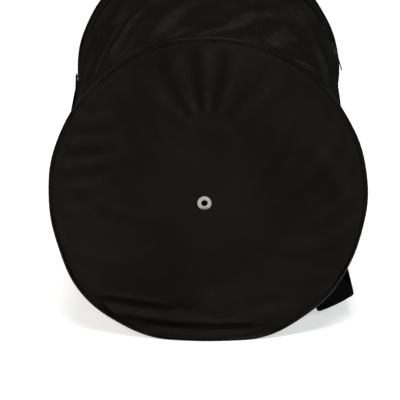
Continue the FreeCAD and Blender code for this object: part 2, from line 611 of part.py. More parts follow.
def rounded_run(points, radius, offset):
    """Edges along a polyline whose corners are rounded, at an offset to its left."""
    starts = [points[0]]
    arcs = []
    for before, corner, after in zip(points, points[1:], points[2:]):
        incoming = (corner - before).normalize()
        outgoing = (after - corner).normalize()
        turn = math.acos(max(-1.0, min(1.0, incoming.dot(outgoing))))
        side = 1.0 if incoming.cross(outgoing).z > 0 else -1.0
        cut_back = radius * math.tan(turn / 2)
        normal = V(-incoming.y, incoming.x, 0) * side
        centre = corner - incoming * cut_back + normal * radius
        arcs.append((centre, radius - side * offset, -normal, incoming, outgoing, side, turn))
    edges = []
    here = points[0] + left_of(points[1] - points[0]) * offset
    for centre, size, out, incoming, outgoing, side, turn in arcs:
        start = centre + out * size
        middle = centre + rotate(out, side * turn / 2) * size
        end = centre + rotate(out, side * turn) * size
        edges.append(Part.LineSegment(here, start).toShape())
        edges.append(Part.Arc(start, middle, end).toShape())
        here = end
    last = points[-1] + left_of(points[-1] - points[-2]) * offset
    edges.append(Part.LineSegment(here, last).toShape())
    return edges, points[0] + left_of(points[1] - points[0]) * offset, last


def left_of(direction):
    """The unit vector to the left of a direction in the plane."""
    unit = V(direction).normalize()
    return V(-unit.y, unit.x, 0)


def rotate(vector, angle):
    """A vector of the plane turned by an angle in radians."""
    return V(vector.x * math.cos(angle) - vector.y * math.sin(angle),
             vector.x * math.sin(angle) + vector.y * math.cos(angle), 0)


def strap(node, angle, foot, bow, rise, crown, bend):
    """A webbing strap along the tube, sewn at both ends and standing off between them.

    It is drawn in a plane with X out from the tube's middle line and Y along it, and then
    given the width of the webbing.
    """
    width = value("sizes.strap_width")
    thickness = value("sizes.strap_thickness")
    lean = math.radians(value("sizes.lean_angle"))
    direction = math.radians(value(angle))
    near = V(value(AXIS_X), value(NEAR_Y), value(NEAR_HEIGHT))
    far = V(value(AXIS_X), value(BODY_EDGE_Y), value(FAR_HEIGHT))
    length = (far - near).Length
    rim_start = value("sizes.rim_radius") * math.sin(direction) * math.tan(lean)
    slope = (value("sizes.mouth_radius") - value("sizes.rim_radius")) / (length - rim_start)

    def out(along, lift):
        wall = value("sizes.rim_radius") + slope * (along - rim_start)
        return V(wall + value("sizes.strap_gap") + thickness / 2 + lift, along, -width / 2)

    corner = width / 2 * abs(math.cos(direction)) * math.tan(lean)
    first = rim_start + value("sizes.strap_start") / math.cos(lean) + corner
    last = length - value("sizes.strap_end_margin")
    near_foot = first + value(foot)
    far_foot = last - value("sizes.strap_foot")
    high = near_foot + value(rise)
    points = [out(first, 0), out(near_foot, 0), out(high, value(bow)),
              out(high + value(crown), value(bow)), out(far_foot, 0), out(last, 0)]
    upper, upper_start, upper_end = rounded_run(points, value(bend), thickness / 2)
    lower, lower_start, lower_end = rounded_run(points, value(bend), -thickness / 2)
    caps = [Part.LineSegment(upper_end, lower_end).toShape(),
            Part.LineSegment(lower_start, upper_start).toShape()]
    outline = Part.Wire(Part.__sortEdges__(upper + lower + caps))
    thing = doc.addObject("Part::Feature", node + "_webbing")
    thing.Shape = Part.Face(outline).extrude(V(0, 0, width))
    climb = math.degrees(math.atan2(far.z - near.z, far.y - near.y))
    turn = FreeCAD.Rotation(V(1, 0, 0), climb) * FreeCAD.Rotation(V(0, -1, 0), value(angle))
    thing.Placement = FreeCAD.Placement(near, turn)
    return keep(node, thing)


for prefix in ("right", "left"):
    strap(f"strap_{prefix}", *(f"sizes.{prefix}_{name}"
                               for name in ("angle", "foot", "bow", "rise", "crown", "bend")))

# ---------------------------------------------------------------- check and write

doc.recompute()
failed = [thing.Name for thing in doc.Objects if "Invalid" in thing.State or "Error" in thing.State]
if failed:
    raise RuntimeError("failed objects: " + ", ".join(failed))
for node, thing in subparts.items():
    shape = thing.Shape
    if shape.isNull() or not shape.isValid() or not shape.Solids:
        raise RuntimeError("bad shape: " + node)

os.makedirs("parts", exist_ok=True)
for node, thing in subparts.items():
    thing.Shape.exportStep(f"parts/{node}.step")
    bounds = thing.Shape.BoundBox
    print(f"{node:18s} {len(thing.Shape.Solids)} solid(s) {thing.Shape.Volume:12.1f} mm3 "
          f"x {bounds.XMin:8.2f} {bounds.XMax:8.2f}  y {bounds.YMin:8.2f} {bounds.YMax:8.2f}  "
          f"z {bounds.ZMin:8.2f} {bounds.ZMax:8.2f}")
for name, expression in (("axis_x", AXIS_X), ("near_y", NEAR_Y), ("near_height", NEAR_HEIGHT),
                         ("lid_y", LID_Y), ("zip_y", ZIP_Y), ("far_height", FAR_HEIGHT),
                         ("pin_out", PIN_OUT), ("slider_angle", SLIDER_ANGLE)):
    print(name, round(value(expression), 4))
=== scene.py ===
"""Looks of a round padded drum bag that lies on its side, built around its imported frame."""

import logging
import math
from collections.abc import Callable
from dataclasses import dataclass, field
from enum import Enum

import bmesh
import bpy
import numpy as np
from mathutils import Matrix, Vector


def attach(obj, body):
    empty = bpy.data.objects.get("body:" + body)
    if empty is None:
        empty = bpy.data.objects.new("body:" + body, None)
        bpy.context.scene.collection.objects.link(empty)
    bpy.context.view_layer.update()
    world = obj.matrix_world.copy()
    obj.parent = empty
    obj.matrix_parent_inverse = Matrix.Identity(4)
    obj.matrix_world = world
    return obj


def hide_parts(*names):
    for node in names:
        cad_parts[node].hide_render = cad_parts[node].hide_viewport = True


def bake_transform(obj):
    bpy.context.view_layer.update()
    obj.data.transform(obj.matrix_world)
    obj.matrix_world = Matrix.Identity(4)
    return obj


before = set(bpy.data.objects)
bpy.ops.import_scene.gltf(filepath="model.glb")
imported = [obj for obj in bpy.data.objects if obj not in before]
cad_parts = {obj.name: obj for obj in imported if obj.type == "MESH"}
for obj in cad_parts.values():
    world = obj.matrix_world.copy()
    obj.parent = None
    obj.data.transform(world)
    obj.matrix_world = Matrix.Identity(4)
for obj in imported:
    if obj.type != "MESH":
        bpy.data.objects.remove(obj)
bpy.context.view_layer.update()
MM = 0.001
log = logging.getLogger("drum_bag")


class Body(str, Enum):
    """Bodies of the frame that the pieces ride on."""

    BAG = "bag"
    LID = "lid"


class Slot(str, Enum):
    """Material slots of the record."""

    NYLON = "outer_nylon"
    PADDING = "padding"
    LINING = "lining"
    BINDING = "binding"
    PIPING = "piping_vinyl"
    ZIP_TAPE = "zip_tape"
    ZIP_TEETH = "zip_teeth"
    WEBBING = "webbing"


# ------------------------------------------------------------------ node trees


class Graph:
    """A node tree with short calls for adding and joining nodes."""

    def __init__(self, tree: bpy.types.NodeTree) -> None:
        """Take an empty tree."""
        self.tree = tree

    def add(self, kind: str, inputs: dict | None = None, **settings: object) -> bpy.types.Node:
        """Add a node.

        Args:
            kind: The node's type name.
            inputs: A socket or a plain value for some of its inputs, by name or number.
            settings: Properties set on the node.

        Returns:
            The new node.
        """
        node = self.tree.nodes.new(kind)
        for key, setting in settings.items():
            setattr(node, key, setting)
        self.fill(node.inputs, inputs or {})
        return node

    def join(self, source: object, target: bpy.types.NodeSocket) -> None:
        """Link a socket to an input, or set the input to a plain value."""
        if isinstance(source, bpy.types.NodeSocket):
            self.tree.links.new(source, target)
        else:
            target.default_value = source

    def fill(self, targets: bpy.types.NodeInputs, sources: dict) -> None:
        """Link or set several inputs of one node, by name or number."""
        for key, source in sources.items():
            self.join(source, targets[key])

    def maths(self, operation: str, *terms: object) -> bpy.types.NodeSocket:
        """Combine numbers.

        Args:
            operation: The Math node's operation.
            terms: Sockets or numbers, in the node's order.

        Returns:
            The result's socket.
        """
        return self.add("ShaderNodeMath", dict(enumerate(terms)), operation=operation).outputs[0]

    def vectors(self, operation: str, inputs: dict) -> bpy.types.NodeSocket:
        """Combine vectors, with inputs by name or number.

        Returns:
            The result's socket.
        """
        return self.add("ShaderNodeVectorMath", inputs, operation=operation).outputs[0]

    def stretch(self, value: object, low: float, high: float, start: float,
                end: float) -> bpy.types.NodeSocket:
        """Map a value from low..high to start..end, clamped.

        Returns:
            The mapped value's socket.
        """
        return self.add("ShaderNodeMapRange", dict(enumerate((value, low, high, start, end)))).outputs[0]

    def noise(self, vector: object, scale: object, detail: float = 3.0,
              rough: float = 0.5) -> bpy.types.NodeSocket:
        """Add a noise texture.

        Returns:
            Its value, about 0.5 on average.
        """
        inputs = {"Vector": vector, "Scale": scale, "Detail": detail, "Roughness": rough}
        return self.add("ShaderNodeTexNoise", inputs).outputs[0]

    def mix(self, share: object, first: object, second: object) -> bpy.types.NodeSocket:
        """Mix two colours.

        Returns:
            The mixed colour's socket.
        """
        inputs = {"Factor": share, "A": first, "B": second}
        return self.add("ShaderNodeMix", inputs, data_type="RGBA").outputs["Result"]

    def bump(self, height: object, strength: float, distance: float) -> bpy.types.NodeSocket:
        """Turn a height into a normal.

        Returns:
            The normal's socket.
        """
        inputs = {"Strength": strength, "Distance": distance, "Height": height}
        return self.add("ShaderNodeBump", inputs).outputs[0]


def new_group(name: str, kind: str, inputs: dict[str, object], outputs: dict[str, str]) -> tuple:
    """Start a node group with named sockets.

    Args:
        name: The group's name.
        kind: ShaderNodeTree or GeometryNodeTree.
        inputs: Socket type or number default by name; a number makes a float socket.
        outputs: Socket type by name.

    Returns:
        The group, its graph, its input node's sockets by name and its output node.
    """
    group = bpy.data.node_groups.new(name, kind)
    for label, given in inputs.items():
        numeric = isinstance(given, (int, float))
        socket = group.interface.new_socket(
            label, in_out="INPUT", socket_type="NodeSocketFloat" if numeric else given)
        if numeric:
            socket.default_value = given
    for label, given in outputs.items():
        group.interface.new_socket(label, in_out="OUTPUT", socket_type=given)
    graph = Graph(group)
    start, end = graph.add("NodeGroupInput"), graph.add("NodeGroupOutput")
    return group, graph, start.outputs, end


def weave_group() -> bpy.types.NodeTree:
    """Build the plain weave that every cloth shares.

    Returns:
        A group that turns a position along the cloth into thread height and thread tint.
    """
    group, graph, given, end = new_group(
        "PlainWeave", "ShaderNodeTree",
        {"Vector": "NodeSocketVector", "Threads": 1400.0, "Slub": 0.35, "Wander": 0.0004},
        {"Height": "NodeSocketFloat", "Tint": "NodeSocketFloat"})
    drift = graph.add("ShaderNodeTexNoise", {"Vector": given["Vector"], "Scale": 60.0})
    shift = graph.vectors("SCALE", {0: drift.outputs["Color"], "Scale": given["Wander"]})
    moved = graph.vectors("ADD", {0: given["Vector"], 1: shift})
    scaled = graph.vectors("SCALE", {0: moved, "Scale": given["Threads"]})
    column, row, _ = graph.add("ShaderNodeSeparateXYZ", {0: scaled}).outputs
    warp, weft = (
        graph.maths("SINE", graph.maths("MULTIPLY", graph.maths("FRACT", way), math.pi))
        for way in (column, row))
    cell = graph.maths("ADD", graph.maths("FLOOR", column), graph.maths("FLOOR", row))
    over = graph.maths("FLOORED_MODULO", cell, 2.0)
    above, below = (
        graph.maths("MULTIPLY", high, graph.maths("MULTIPLY_ADD", low, 0.5, 0.5))
        for high, low in ((warp, weft), (weft, warp)))
    height = graph.maths(
        "ADD", graph.maths("MULTIPLY", over, above),
        graph.maths("MULTIPLY", graph.maths("SUBTRACT", 1.0, over), below))
    long_way = graph.vectors("MULTIPLY", {0: given["Vector"], 1: (1400.0, 40.0, 1.0)})
    slub = graph.noise(long_way, 1.0, 2.0)
    thick = graph.maths("MULTIPLY_ADD", graph.maths("SUBTRACT", slub, 0.5), given["Slub"], height)
    graph.fill(end.inputs, {"Height": thick, "Tint": graph.stretch(thick, 0.2, 1.1, 0.0, 1.0)})
    return group


def wear_group() -> bpy.types.NodeTree:
    """Build the handling marks that every finish shares.

    Returns:
        A group that gives a mask of rubbed crests and lint, and a slow change of tone.
    """
    group, graph, given, end = new_group(
        "HandlingWear", "ShaderNodeTree",
        {"Vector": "NodeSocketVector", "Crest": 0.0, "Rub": 0.6, "Lint": 0.3, "Patch": 9.0},
        {"Mask": "NodeSocketFloat", "Tone": "NodeSocketFloat"})
    broken = graph.noise(given["Vector"], 55.0, 5.0, 0.62)
    rubbed = graph.maths("MULTIPLY", given["Crest"], graph.stretch(broken, 0.38, 0.62, 0.2, 1.0))
    specks = graph.stretch(graph.noise(given["Vector"], 620.0, 2.0, 0.7), 0.71, 0.78, 0.0, 1.0)
    sparse = graph.stretch(graph.noise(given["Vector"], 24.0, 2.0), 0.48, 0.62, 0.0, 1.0)
    lint = graph.maths("MULTIPLY", graph.maths("MULTIPLY", specks, sparse), given["Lint"])
    mask = graph.maths("ADD", graph.maths("MULTIPLY", rubbed, given["Rub"]), lint)
    tone = graph.noise(given["Vector"], given["Patch"], 4.0, 0.55)
    graph.fill(end.inputs, {"Mask": graph.maths("MINIMUM", mask, 1.0), "Tone": tone})
    return group


def grain_group() -> bpy.types.NodeTree:
    """Build the fine pits and wrinkles of coated and cast surfaces.

    Returns:
        A group that turns a position into a surface height and a mask of scuffs.
    """
    group, graph, given, end = new_group(
        "SurfaceGrain", "ShaderNodeTree",
        {"Vector": "NodeSocketVector", "Grain": 1500.0, "Wrinkle": 140.0},
        {"Height": "NodeSocketFloat", "Scuff": "NodeSocketFloat"})
    fine = graph.noise(given["Vector"], given["Grain"], 3.0, 0.6)
    long = graph.noise(given["Vector"], given["Wrinkle"], 4.0, 0.6)
    scuff = graph.stretch(graph.noise(given["Vector"], 260.0, 6.0, 0.7), 0.56, 0.72, 0.0, 1.0)
    graph.fill(end.inputs, {"Height": graph.maths("MULTIPLY_ADD", fine, 0.4, long), "Scuff": scuff})
    return group


GROUPS: dict[str, bpy.types.NodeTree] = {}


def shared(name: str) -> bpy.types.NodeTree:
    """Fetch a shared effect's node group, building it the first time."""
    makers = {"weave": weave_group, "wear": wear_group, "grain": grain_group}
    if name not in GROUPS:
        GROUPS[name] = makers[name]()
    return GROUPS[name]


# ------------------------------------------------------------------ finishes

Colour = tuple[float, float, float]
# Painted shade: share of a cloth's own colour left in fold valleys and along sewn edges.
VALLEY_SHADE = 0.25
# Colour of the painted shade that darkens the eyelet's lower edge.
PAINTED_SHADE_COLOUR: Colour = (0.035, 0.030, 0.022)


def shade(colour: Colour, part: float = 1.0) -> tuple[float, ...]:
    """A colour, or part of its brightness, with full alpha."""
    return (*(channel * part for channel in colour), 1.0)


def new_finish(name: str) -> tuple:
    """Start a material.

    Returns:
        The material, its graph and its shader's inputs.
    """
    made = bpy.data.materials.new(name)
    made.use_nodes = True
    return made, Graph(made.node_tree), made.node_tree.nodes["Principled BSDF"].inputs


@dataclass(frozen=True)
class Cloth:
    """A woven finish: nylon, lining, tape or webbing. Its weave follows the piece's own map."""

    name: str
    colour: Colour
    rubbed: Colour
    roughness: float = 0.62
    threads: float = 1400.0
    relief: float = 0.22
    thread_height: float = 0.0002
    sheen: float = 0.003
    specular: float = 0.0
    slub: float = 0.35
    rub: float = 0.6
    lint: float = 0.25
    tone: float = 0.35

    def material(self) -> bpy.types.Material:
        """Build the finish once and return it."""
        made = bpy.data.materials.get(self.name)
        if made:
            return made
        made, graph, shader = new_finish(self.name)
        cloth_map = graph.add("ShaderNodeUVMap", uv_map="ClothMap").outputs[0]
        space = graph.add("ShaderNodeTexCoord").outputs["Object"]
        fold = graph.add("ShaderNodeAttribute", attribute_name="crest").outputs["Fac"]
        crest = graph.maths("MAXIMUM", fold, 0.0)
        # Painted shade: a crest value below zero darkens the cloth in fold valleys and along sewn edges.
        valley_and_edge_shade = graph.maths("MAXIMUM", graph.maths("MULTIPLY", fold, -1.0), 0.0)
        weave = graph.add(
            "ShaderNodeGroup", {"Vector": cloth_map, "Threads": self.threads, "Slub": self.slub},
            node_tree=shared("weave")).outputs
        wear = graph.add(
            "ShaderNodeGroup", {"Vector": space, "Crest": crest, "Rub": self.rub, "Lint": self.lint},
            node_tree=shared("wear")).outputs
        deep = shade(self.colour, 1.0 - self.tone)
        ground = graph.mix(graph.stretch(wear["Tone"], 0.35, 0.65, 0.0, 1.0), deep, shade(self.colour))
        shaded = graph.mix(graph.stretch(weave["Tint"], 0.0, 1.0, 0.55, 0.0), ground, deep)
        worn = graph.mix(wear["Mask"], shaded, shade(self.rubbed))
        rough = graph.maths("MULTIPLY_ADD", graph.maths("SUBTRACT", wear["Tone"], 0.5), 0.18, self.roughness)
        # The base colour carries the painted shade of valleys and sewn edges.
        graph.fill(shader, {
            "Base Color": graph.mix(valley_and_edge_shade, worn, shade(self.colour, VALLEY_SHADE)),
            "Roughness": graph.maths("MULTIPLY_ADD", weave["Tint"], -0.06, rough),
            "Normal": graph.bump(weave["Height"], self.relief, self.thread_height),
            "Sheen Weight": self.sheen,
            "Sheen Roughness": 0.45,
            "Specular IOR Level": self.specular})
        return made


@dataclass(frozen=True)
class Coated:
    """A solid finish: vinyl, foam, thread, coil plastic, enamel or plated metal."""

    name: str
    colour: Colour
    scuffed: Colour
    roughness: float = 0.35
    scuffed_roughness: float = 0.55
    metal: float = 0.0
    specular: float = 0.5
    grain: float = 1500.0
    wrinkle: float = 140.0
    relief: float = 0.15
    depth: float = 0.0003
    amount: float = 0.5
    # Heights in the object's space: below them the colour fades to painted shade, darker towards the bottom.
    painted_shade_heights: tuple[float, float] | None = None

    def material(self) -> bpy.types.Material:
        """Build the finish once and return it."""
        made = bpy.data.materials.get(self.name)
        if made:
            return made
        made, graph, shader = new_finish(self.name)
        space = graph.add("ShaderNodeTexCoord").outputs["Object"]
        grain = graph.add(
            "ShaderNodeGroup", {"Vector": space, "Grain": self.grain, "Wrinkle": self.wrinkle},
            node_tree=shared("grain")).outputs
        wear = graph.add(
            "ShaderNodeGroup", {"Vector": space, "Patch": 40.0}, node_tree=shared("wear")).outputs
        scuffed = shade(self.scuffed)
        toned = graph.mix(graph.stretch(wear["Tone"], 0.3, 0.7, 0.0, 0.5), shade(self.colour), scuffed)
        finished = graph.mix(graph.maths("MULTIPLY", grain["Scuff"], self.amount), toned, scuffed)
        if self.painted_shade_heights:
            # Painted shade: darker towards the bottom, standing in for the shadow on the eyelet's lower edge.
            height = graph.add("ShaderNodeSeparateXYZ", {0: space}).outputs[2]
            finished = graph.mix(graph.stretch(height, *self.painted_shade_heights, 0.9, 0.0), finished, shade(PAINTED_SHADE_COLOUR))
        graph.fill(shader, {
            "Base Color": finished,
            "Roughness": graph.stretch(grain["Scuff"], 0.0, 1.0, self.roughness, self.scuffed_roughness),
            "Normal": graph.bump(grain["Height"], self.relief, self.depth),
            "Metallic": self.metal,
            "Specular IOR Level": self.specular})
        return made


OUTER_NYLON = Cloth("OuterNylon", (0.0094, 0.0089, 0.0078), (0.021, 0.0207, 0.0195), roughness=0.66)
LINING_CLOTH = Cloth("LiningCloth", (0.014, 0.014, 0.0155), (0.03, 0.03, 0.03), roughness=0.5, threads=2200.0)
BINDING_TAPE = Cloth("BindingTape", (0.007, 0.007, 0.007), (0.02, 0.02, 0.02), threads=900.0, relief=0.4)
ZIP_TAPE = Cloth("ZipTape", (0.0062, 0.0062, 0.0066), (0.018, 0.018, 0.018), threads=1200.0, relief=0.4)
WEBBING = Cloth(
    "Webbing", (0.0034, 0.0034, 0.0037), (0.014, 0.0138, 0.013), roughness=0.62, threads=620.0, relief=0.6,
    thread_height=0.0006, sheen=0.004, slub=0.2, lint=0.5)
PIPING_VINYL = Coated(
    "PipingVinyl", (0.0012, 0.0012, 0.0012), (0.0045, 0.0045, 0.0042), roughness=0.2, scuffed_roughness=0.34,
    specular=0.06, wrinkle=420.0, relief=0.25, depth=0.0004, amount=0.35)
FOAM = Coated(
    "PaddingFoam", (0.11, 0.11, 0.115), (0.17, 0.17, 0.17), roughness=0.9, scuffed_roughness=0.95,
    grain=900.0, relief=0.5, depth=0.0006)
THREAD = Coated(
    "SewingThread", (0.008, 0.008, 0.008), (0.024, 0.024, 0.024), roughness=0.5, grain=4000.0, wrinkle=2500.0,
    specular=0.03)
COIL_NYLON = Coated("CoilNylon", (0.006, 0.006, 0.006), (0.015, 0.015, 0.015), roughness=0.34, specular=0.08)
ZIP_ENAMEL = Coated(
    "ZipEnamel", (0.005, 0.005, 0.005), (0.026, 0.025, 0.023), roughness=0.32, specular=0.15, relief=0.1,
    amount=0.3)
# The plated eyelet, with painted shade on its lower edge.
EYELET_PLATE = Coated(
    "EyeletPlate", (0.50, 0.465, 0.41), (0.20, 0.175, 0.145), roughness=0.34, scuffed_roughness=0.5,
    metal=0.85, grain=2600.0, wrinkle=500.0, relief=0.12, amount=0.5, painted_shade_heights=(0.1592, 0.1625))


# ------------------------------------------------------------------ shapes

Lift = Callable[[np.ndarray, np.ndarray], np.ndarray]
WALL_RADIUS = 185.0
SEWN_LIFT = 0.12 * MM
EDGE_MARGIN = 3.2 * MM
# Crest value for painted shade along sewn edges: a painted shadow gap beside the piping.
EDGE_SHADE = -0.9
CREASE_POINTS = 40
SWELL_WAVES = 9
INNER_RINGS, INNER_REACH = 0.85, 0.931
SIDEWAYS = np.array([1.0, 0.0, 0.0])
FORWARD = np.array([0.0, -1.0, 0.0])


def ease(value: np.ndarray) -> np.ndarray:
    """Smooth step of values from 0 to 1."""
    return value * value * (3.0 - 2.0 * value)


def round_trip(count: int) -> np.ndarray:
    """Degrees of evenly spaced places round the bag, from its underside."""
    return np.linspace(-90.0, 270.0, count, endpoint=False)


def lattice(first: np.ndarray, second: np.ndarray) -> list[np.ndarray]:
    """Grids of two coordinates, the first along the rows."""
    return np.meshgrid(first, second, indexing="ij")


def wrap_map(radius: float, rows: int, along: np.ndarray) -> np.ndarray:
    """Cloth map of a grid that goes once round the bag: metres round it and metres along it."""
    return np.stack(lattice(np.linspace(0.0, math.tau * radius, rows + 1), along), -1)


def unit(vectors: np.ndarray) -> np.ndarray:
    """Rows of vectors, each scaled to length one."""
    return vectors / np.linalg.norm(vectors, axis=1)[:, None]


@dataclass(frozen=True)
class Crease:
    """A ridge or groove that runs over a surface along a bent line of three points."""

    start: tuple[float, float]
    bend: tuple[float, float]
    end: tuple[float, float]
    height: float
    width: float
    far_width: float
    fade: float

    def line(self) -> np.ndarray:
        """Points of the line, start to end."""
        t = np.linspace(0.0, 1.0, CREASE_POINTS)[:, None]
        a, b, c = (np.array(point, float) for point in (self.start, self.bend, self.end))
        middle = 2.0 * b - (a + c) / 2.0
        return (1.0 - t) ** 2 * a + 2.0 * t * (1.0 - t) * middle + t**2 * c

    def lift(self, x: np.ndarray, y: np.ndarray) -> np.ndarray:
        """Height of the crease at each point of the surface, in the units of its line.

        Args:
            x: First coordinates.
            y: Second coordinates.

        Returns:
            The lift at each point.
        """
        line = self.line()
        reach = 3.0 * max(self.width, self.far_width)
        low, high = line.min(0) - reach, line.max(0) + reach
        near = (x > low[0]) & (x < high[0]) & (y > low[1]) & (y < high[1])
        total = np.zeros(x.shape)
        if not near.any():
            return total
        points = np.stack([x[near], y[near]], -1)
        gaps = points[:, None, :] - line[None, :, :]
        square = (gaps**2).sum(-1)
        index = square.argmin(1)
        run = unit(np.gradient(line, axis=0))
        offset = gaps[np.arange(len(index)), index]
        side = run[index, 0] * offset[:, 1] - run[index, 1] * offset[:, 0]
        width = np.where(side > 0.0, self.width, self.far_width)
        share = index / (len(line) - 1.0)
        along = ease(np.clip(np.minimum(share, 1.0 - share) / self.fade, 0.0, 1.0))
        total[near] = self.height * np.exp(-square[np.arange(len(index)), index] / width**2) * along
        return total


def creases(*rows: tuple[float, ...]) -> tuple[Crease, ...]:
    """Make creases from rows of start, bend and end, then height, both widths and fade."""
    return tuple(Crease(row[0:2], row[2:4], row[4:6], *row[6:]) for row in rows)


def undulate(x: np.ndarray, y: np.ndarray, wave: float, height: float, seed: int) -> np.ndarray:
    """Soft random swell of a slack cloth.

    Args:
        x: First coordinates.
        y: Second coordinates.
        wave: Typical wavelength.
        height: Typical height.
        seed: Seed of the random waves.

    Returns:
        The swell at each point.
    """
    random = np.random.default_rng(seed)
    total = np.zeros(x.shape)
    for _ in range(SWELL_WAVES):
        angle, phase = random.uniform(0.0, math.tau, 2)
        rate = math.tau / (wave * random.uniform(0.7, 1.6))
        total += np.sin(rate * (x * math.cos(angle) + y * math.sin(angle)) + phase)
    return total * height / 3.0


@dataclass(frozen=True)
class Section:
    """A round section of the bag with a flat foot where it rests on the floor."""

    centre: tuple[float, float, float]
    radius: float
    drop: float
    lean: float = 0.0
    foot_angle: float = 60.0
    corner_share: float = 20.0
    bulges: tuple[tuple[float, float, float], ...] = ()
    foot_bow: float = 0.0
    bow_spread: float = 21.0
    bow_start: float = 0.6
    bow_ramp: float = 0.32

    def bow(self, across: np.ndarray, rise: np.ndarray) -> np.ndarray:
        """How far forward the foot is pushed at places in the section's plane.

        Args:
            across: Sideways places.
            rise: Upward places.

        Returns:
            One row of three coordinates for each place.
        """
        turned = np.degrees(np.arctan2(across, -rise))
        near = np.clip((np.hypot(across, rise) / self.radius - self.bow_start) / self.bow_ramp, 0.0, 1.0)
        push = self.foot_bow * np.exp(-((turned / self.bow_spread) ** 2)) * ease(near)
        return push[..., None] * FORWARD

    def up(self) -> np.ndarray:
        """Direction in the section's plane that is highest."""
        lean = math.radians(self.lean)
        return np.array([0.0, math.sin(lean), math.cos(lean)])

    def out(self) -> np.ndarray:
        """Direction square to the section, towards the bottom panel's outside."""
        lean = math.radians(self.lean)
        return np.array([0.0, -math.cos(lean), math.sin(lean)])

    def flat(self, angle: np.ndarray, depth: object = 0.0) -> tuple:
        """Outline in the section's own plane.

        Args:
            angle: Degrees from the right-hand side towards the top.
            depth: How far inside the outline.

        Returns:
            Sideways and upward places, and the sideways and upward parts of the outward direction.
        """
        turned = (np.asarray(angle, float) + 90.0) % 360.0 - 90.0
        side = np.where(turned <= 90.0, 1.0, -1.0)
        half = np.where(turned <= 90.0, turned, 180.0 - turned)
        for middle, spread, height in self.bulges:
            depth = depth - height * np.exp(-(((turned - middle + 180.0) % 360.0 - 180.0) / spread) ** 2)
        foot = math.radians(self.foot_angle)
        corner = self.radius - self.drop / (1.0 - math.sin(foot))
        shift = self.radius - corner
        edge = -90.0 + (90.0 - self.foot_angle) - self.corner_share
        swing = np.where(
            half >= -self.foot_angle, half,
            -self.foot_angle - (-self.foot_angle - half) / self.corner_share * (90.0 - self.foot_angle))
        swing = np.radians(np.maximum(swing, -90.0))
        on_corner = half < -self.foot_angle
        reach = np.where(on_corner, corner, self.radius) - depth
        level = np.where(half < edge, (half + 90.0) / (edge + 90.0), 1.0)
        across = np.where(on_corner, shift * math.cos(foot) * level, 0.0) + reach * np.cos(swing)
        rise = np.where(on_corner, -shift * math.sin(foot), 0.0) + reach * np.sin(swing)
        return side * across, rise, side * np.cos(swing), np.sin(swing)


@dataclass(frozen=True)
class Wall:
    """The ruled wall between two sections."""

    start: Section
    end: Section

    def length(self) -> float:
        """Distance between the middles of the two sections."""
        return float(np.linalg.norm(np.array(self.end.centre) - np.array(self.start.centre)))

    def points(self, angle: np.ndarray, share: np.ndarray, depth: object, lift: object) -> np.ndarray:
        """Places in the wall.

        Args:
            angle: Degrees round the wall.
            share: 0 at the start section and 1 at the end section.
            depth: How far below the outside.
            lift: How far the cloth stands out from its plain shape.

        Returns:
            One row of three coordinates for each place.
        """
        rows = []
        for section in (self.start, self.end):
            across, rise, side, top = section.flat(angle, depth)
            across = across + side * lift
            rise = rise + top * lift
            rows.append(
                np.array(section.centre) + across[..., None] * SIDEWAYS
                + rise[..., None] * section.up() + section.bow(across, rise))
        share = np.asarray(share, float)[..., None]
        return rows[0] * (1.0 - share) + rows[1] * share


def mesh_piece(name: str, points: np.ndarray, faces: list, finish: object,
               cloth_map: np.ndarray | None = None, crest: np.ndarray | None = None) -> bpy.types.Object:
    """Make a smooth mesh object from its parts.

    Args:
        name: The piece's name.
        points: Vertex places.
        faces: Vertex numbers of each face.
        finish: A finish with a material method.
        cloth_map: Place of each vertex along the cloth, in metres.
        crest: How much each vertex stands on a fold, or, below zero, how much painted shade it gets in a
            fold's valley or along a sewn edge.

    Returns:
        The new object.
    """
    mesh = bpy.data.meshes.new(name)
    mesh.from_pydata([tuple(point) for point in points], [], faces)
    mesh.polygons.foreach_set("use_smooth", np.ones(len(mesh.polygons), bool))
    if cloth_map is not None:
        layer = mesh.uv_layers.new(name="ClothMap")
        corners = np.zeros(len(mesh.loops), np.int32)
        mesh.loops.foreach_get("vertex_index", corners)
        layer.data.foreach_set("uv", cloth_map[corners].astype(np.float32).ravel())
    if crest is not None:
        attribute = mesh.attributes.new("crest", "FLOAT", "POINT")
        attribute.data.foreach_set("value", crest.astype(np.float32))
    mesh.materials.append(finish.material())
    mesh.update()
    piece = bpy.data.objects.new(name, mesh)
    bpy.context.scene.collection.objects.link(piece)
    return piece


def face_outward(piece: bpy.types.Object) -> bpy.types.Object:
    """Turn a closed mesh's faces outward if its volume says that they face in."""
    mesh = piece.data
    mesh.calc_loop_triangles()
    places = np.array([vertex.co for vertex in mesh.vertices], float)
    corners = np.array([triangle.vertices for triangle in mesh.loop_triangles])
    a, b, c = (places[corners[:, index]] for index in range(3))
    if (a * np.cross(b, c)).sum() < 0.0:
        mesh.flip_normals()
    return piece


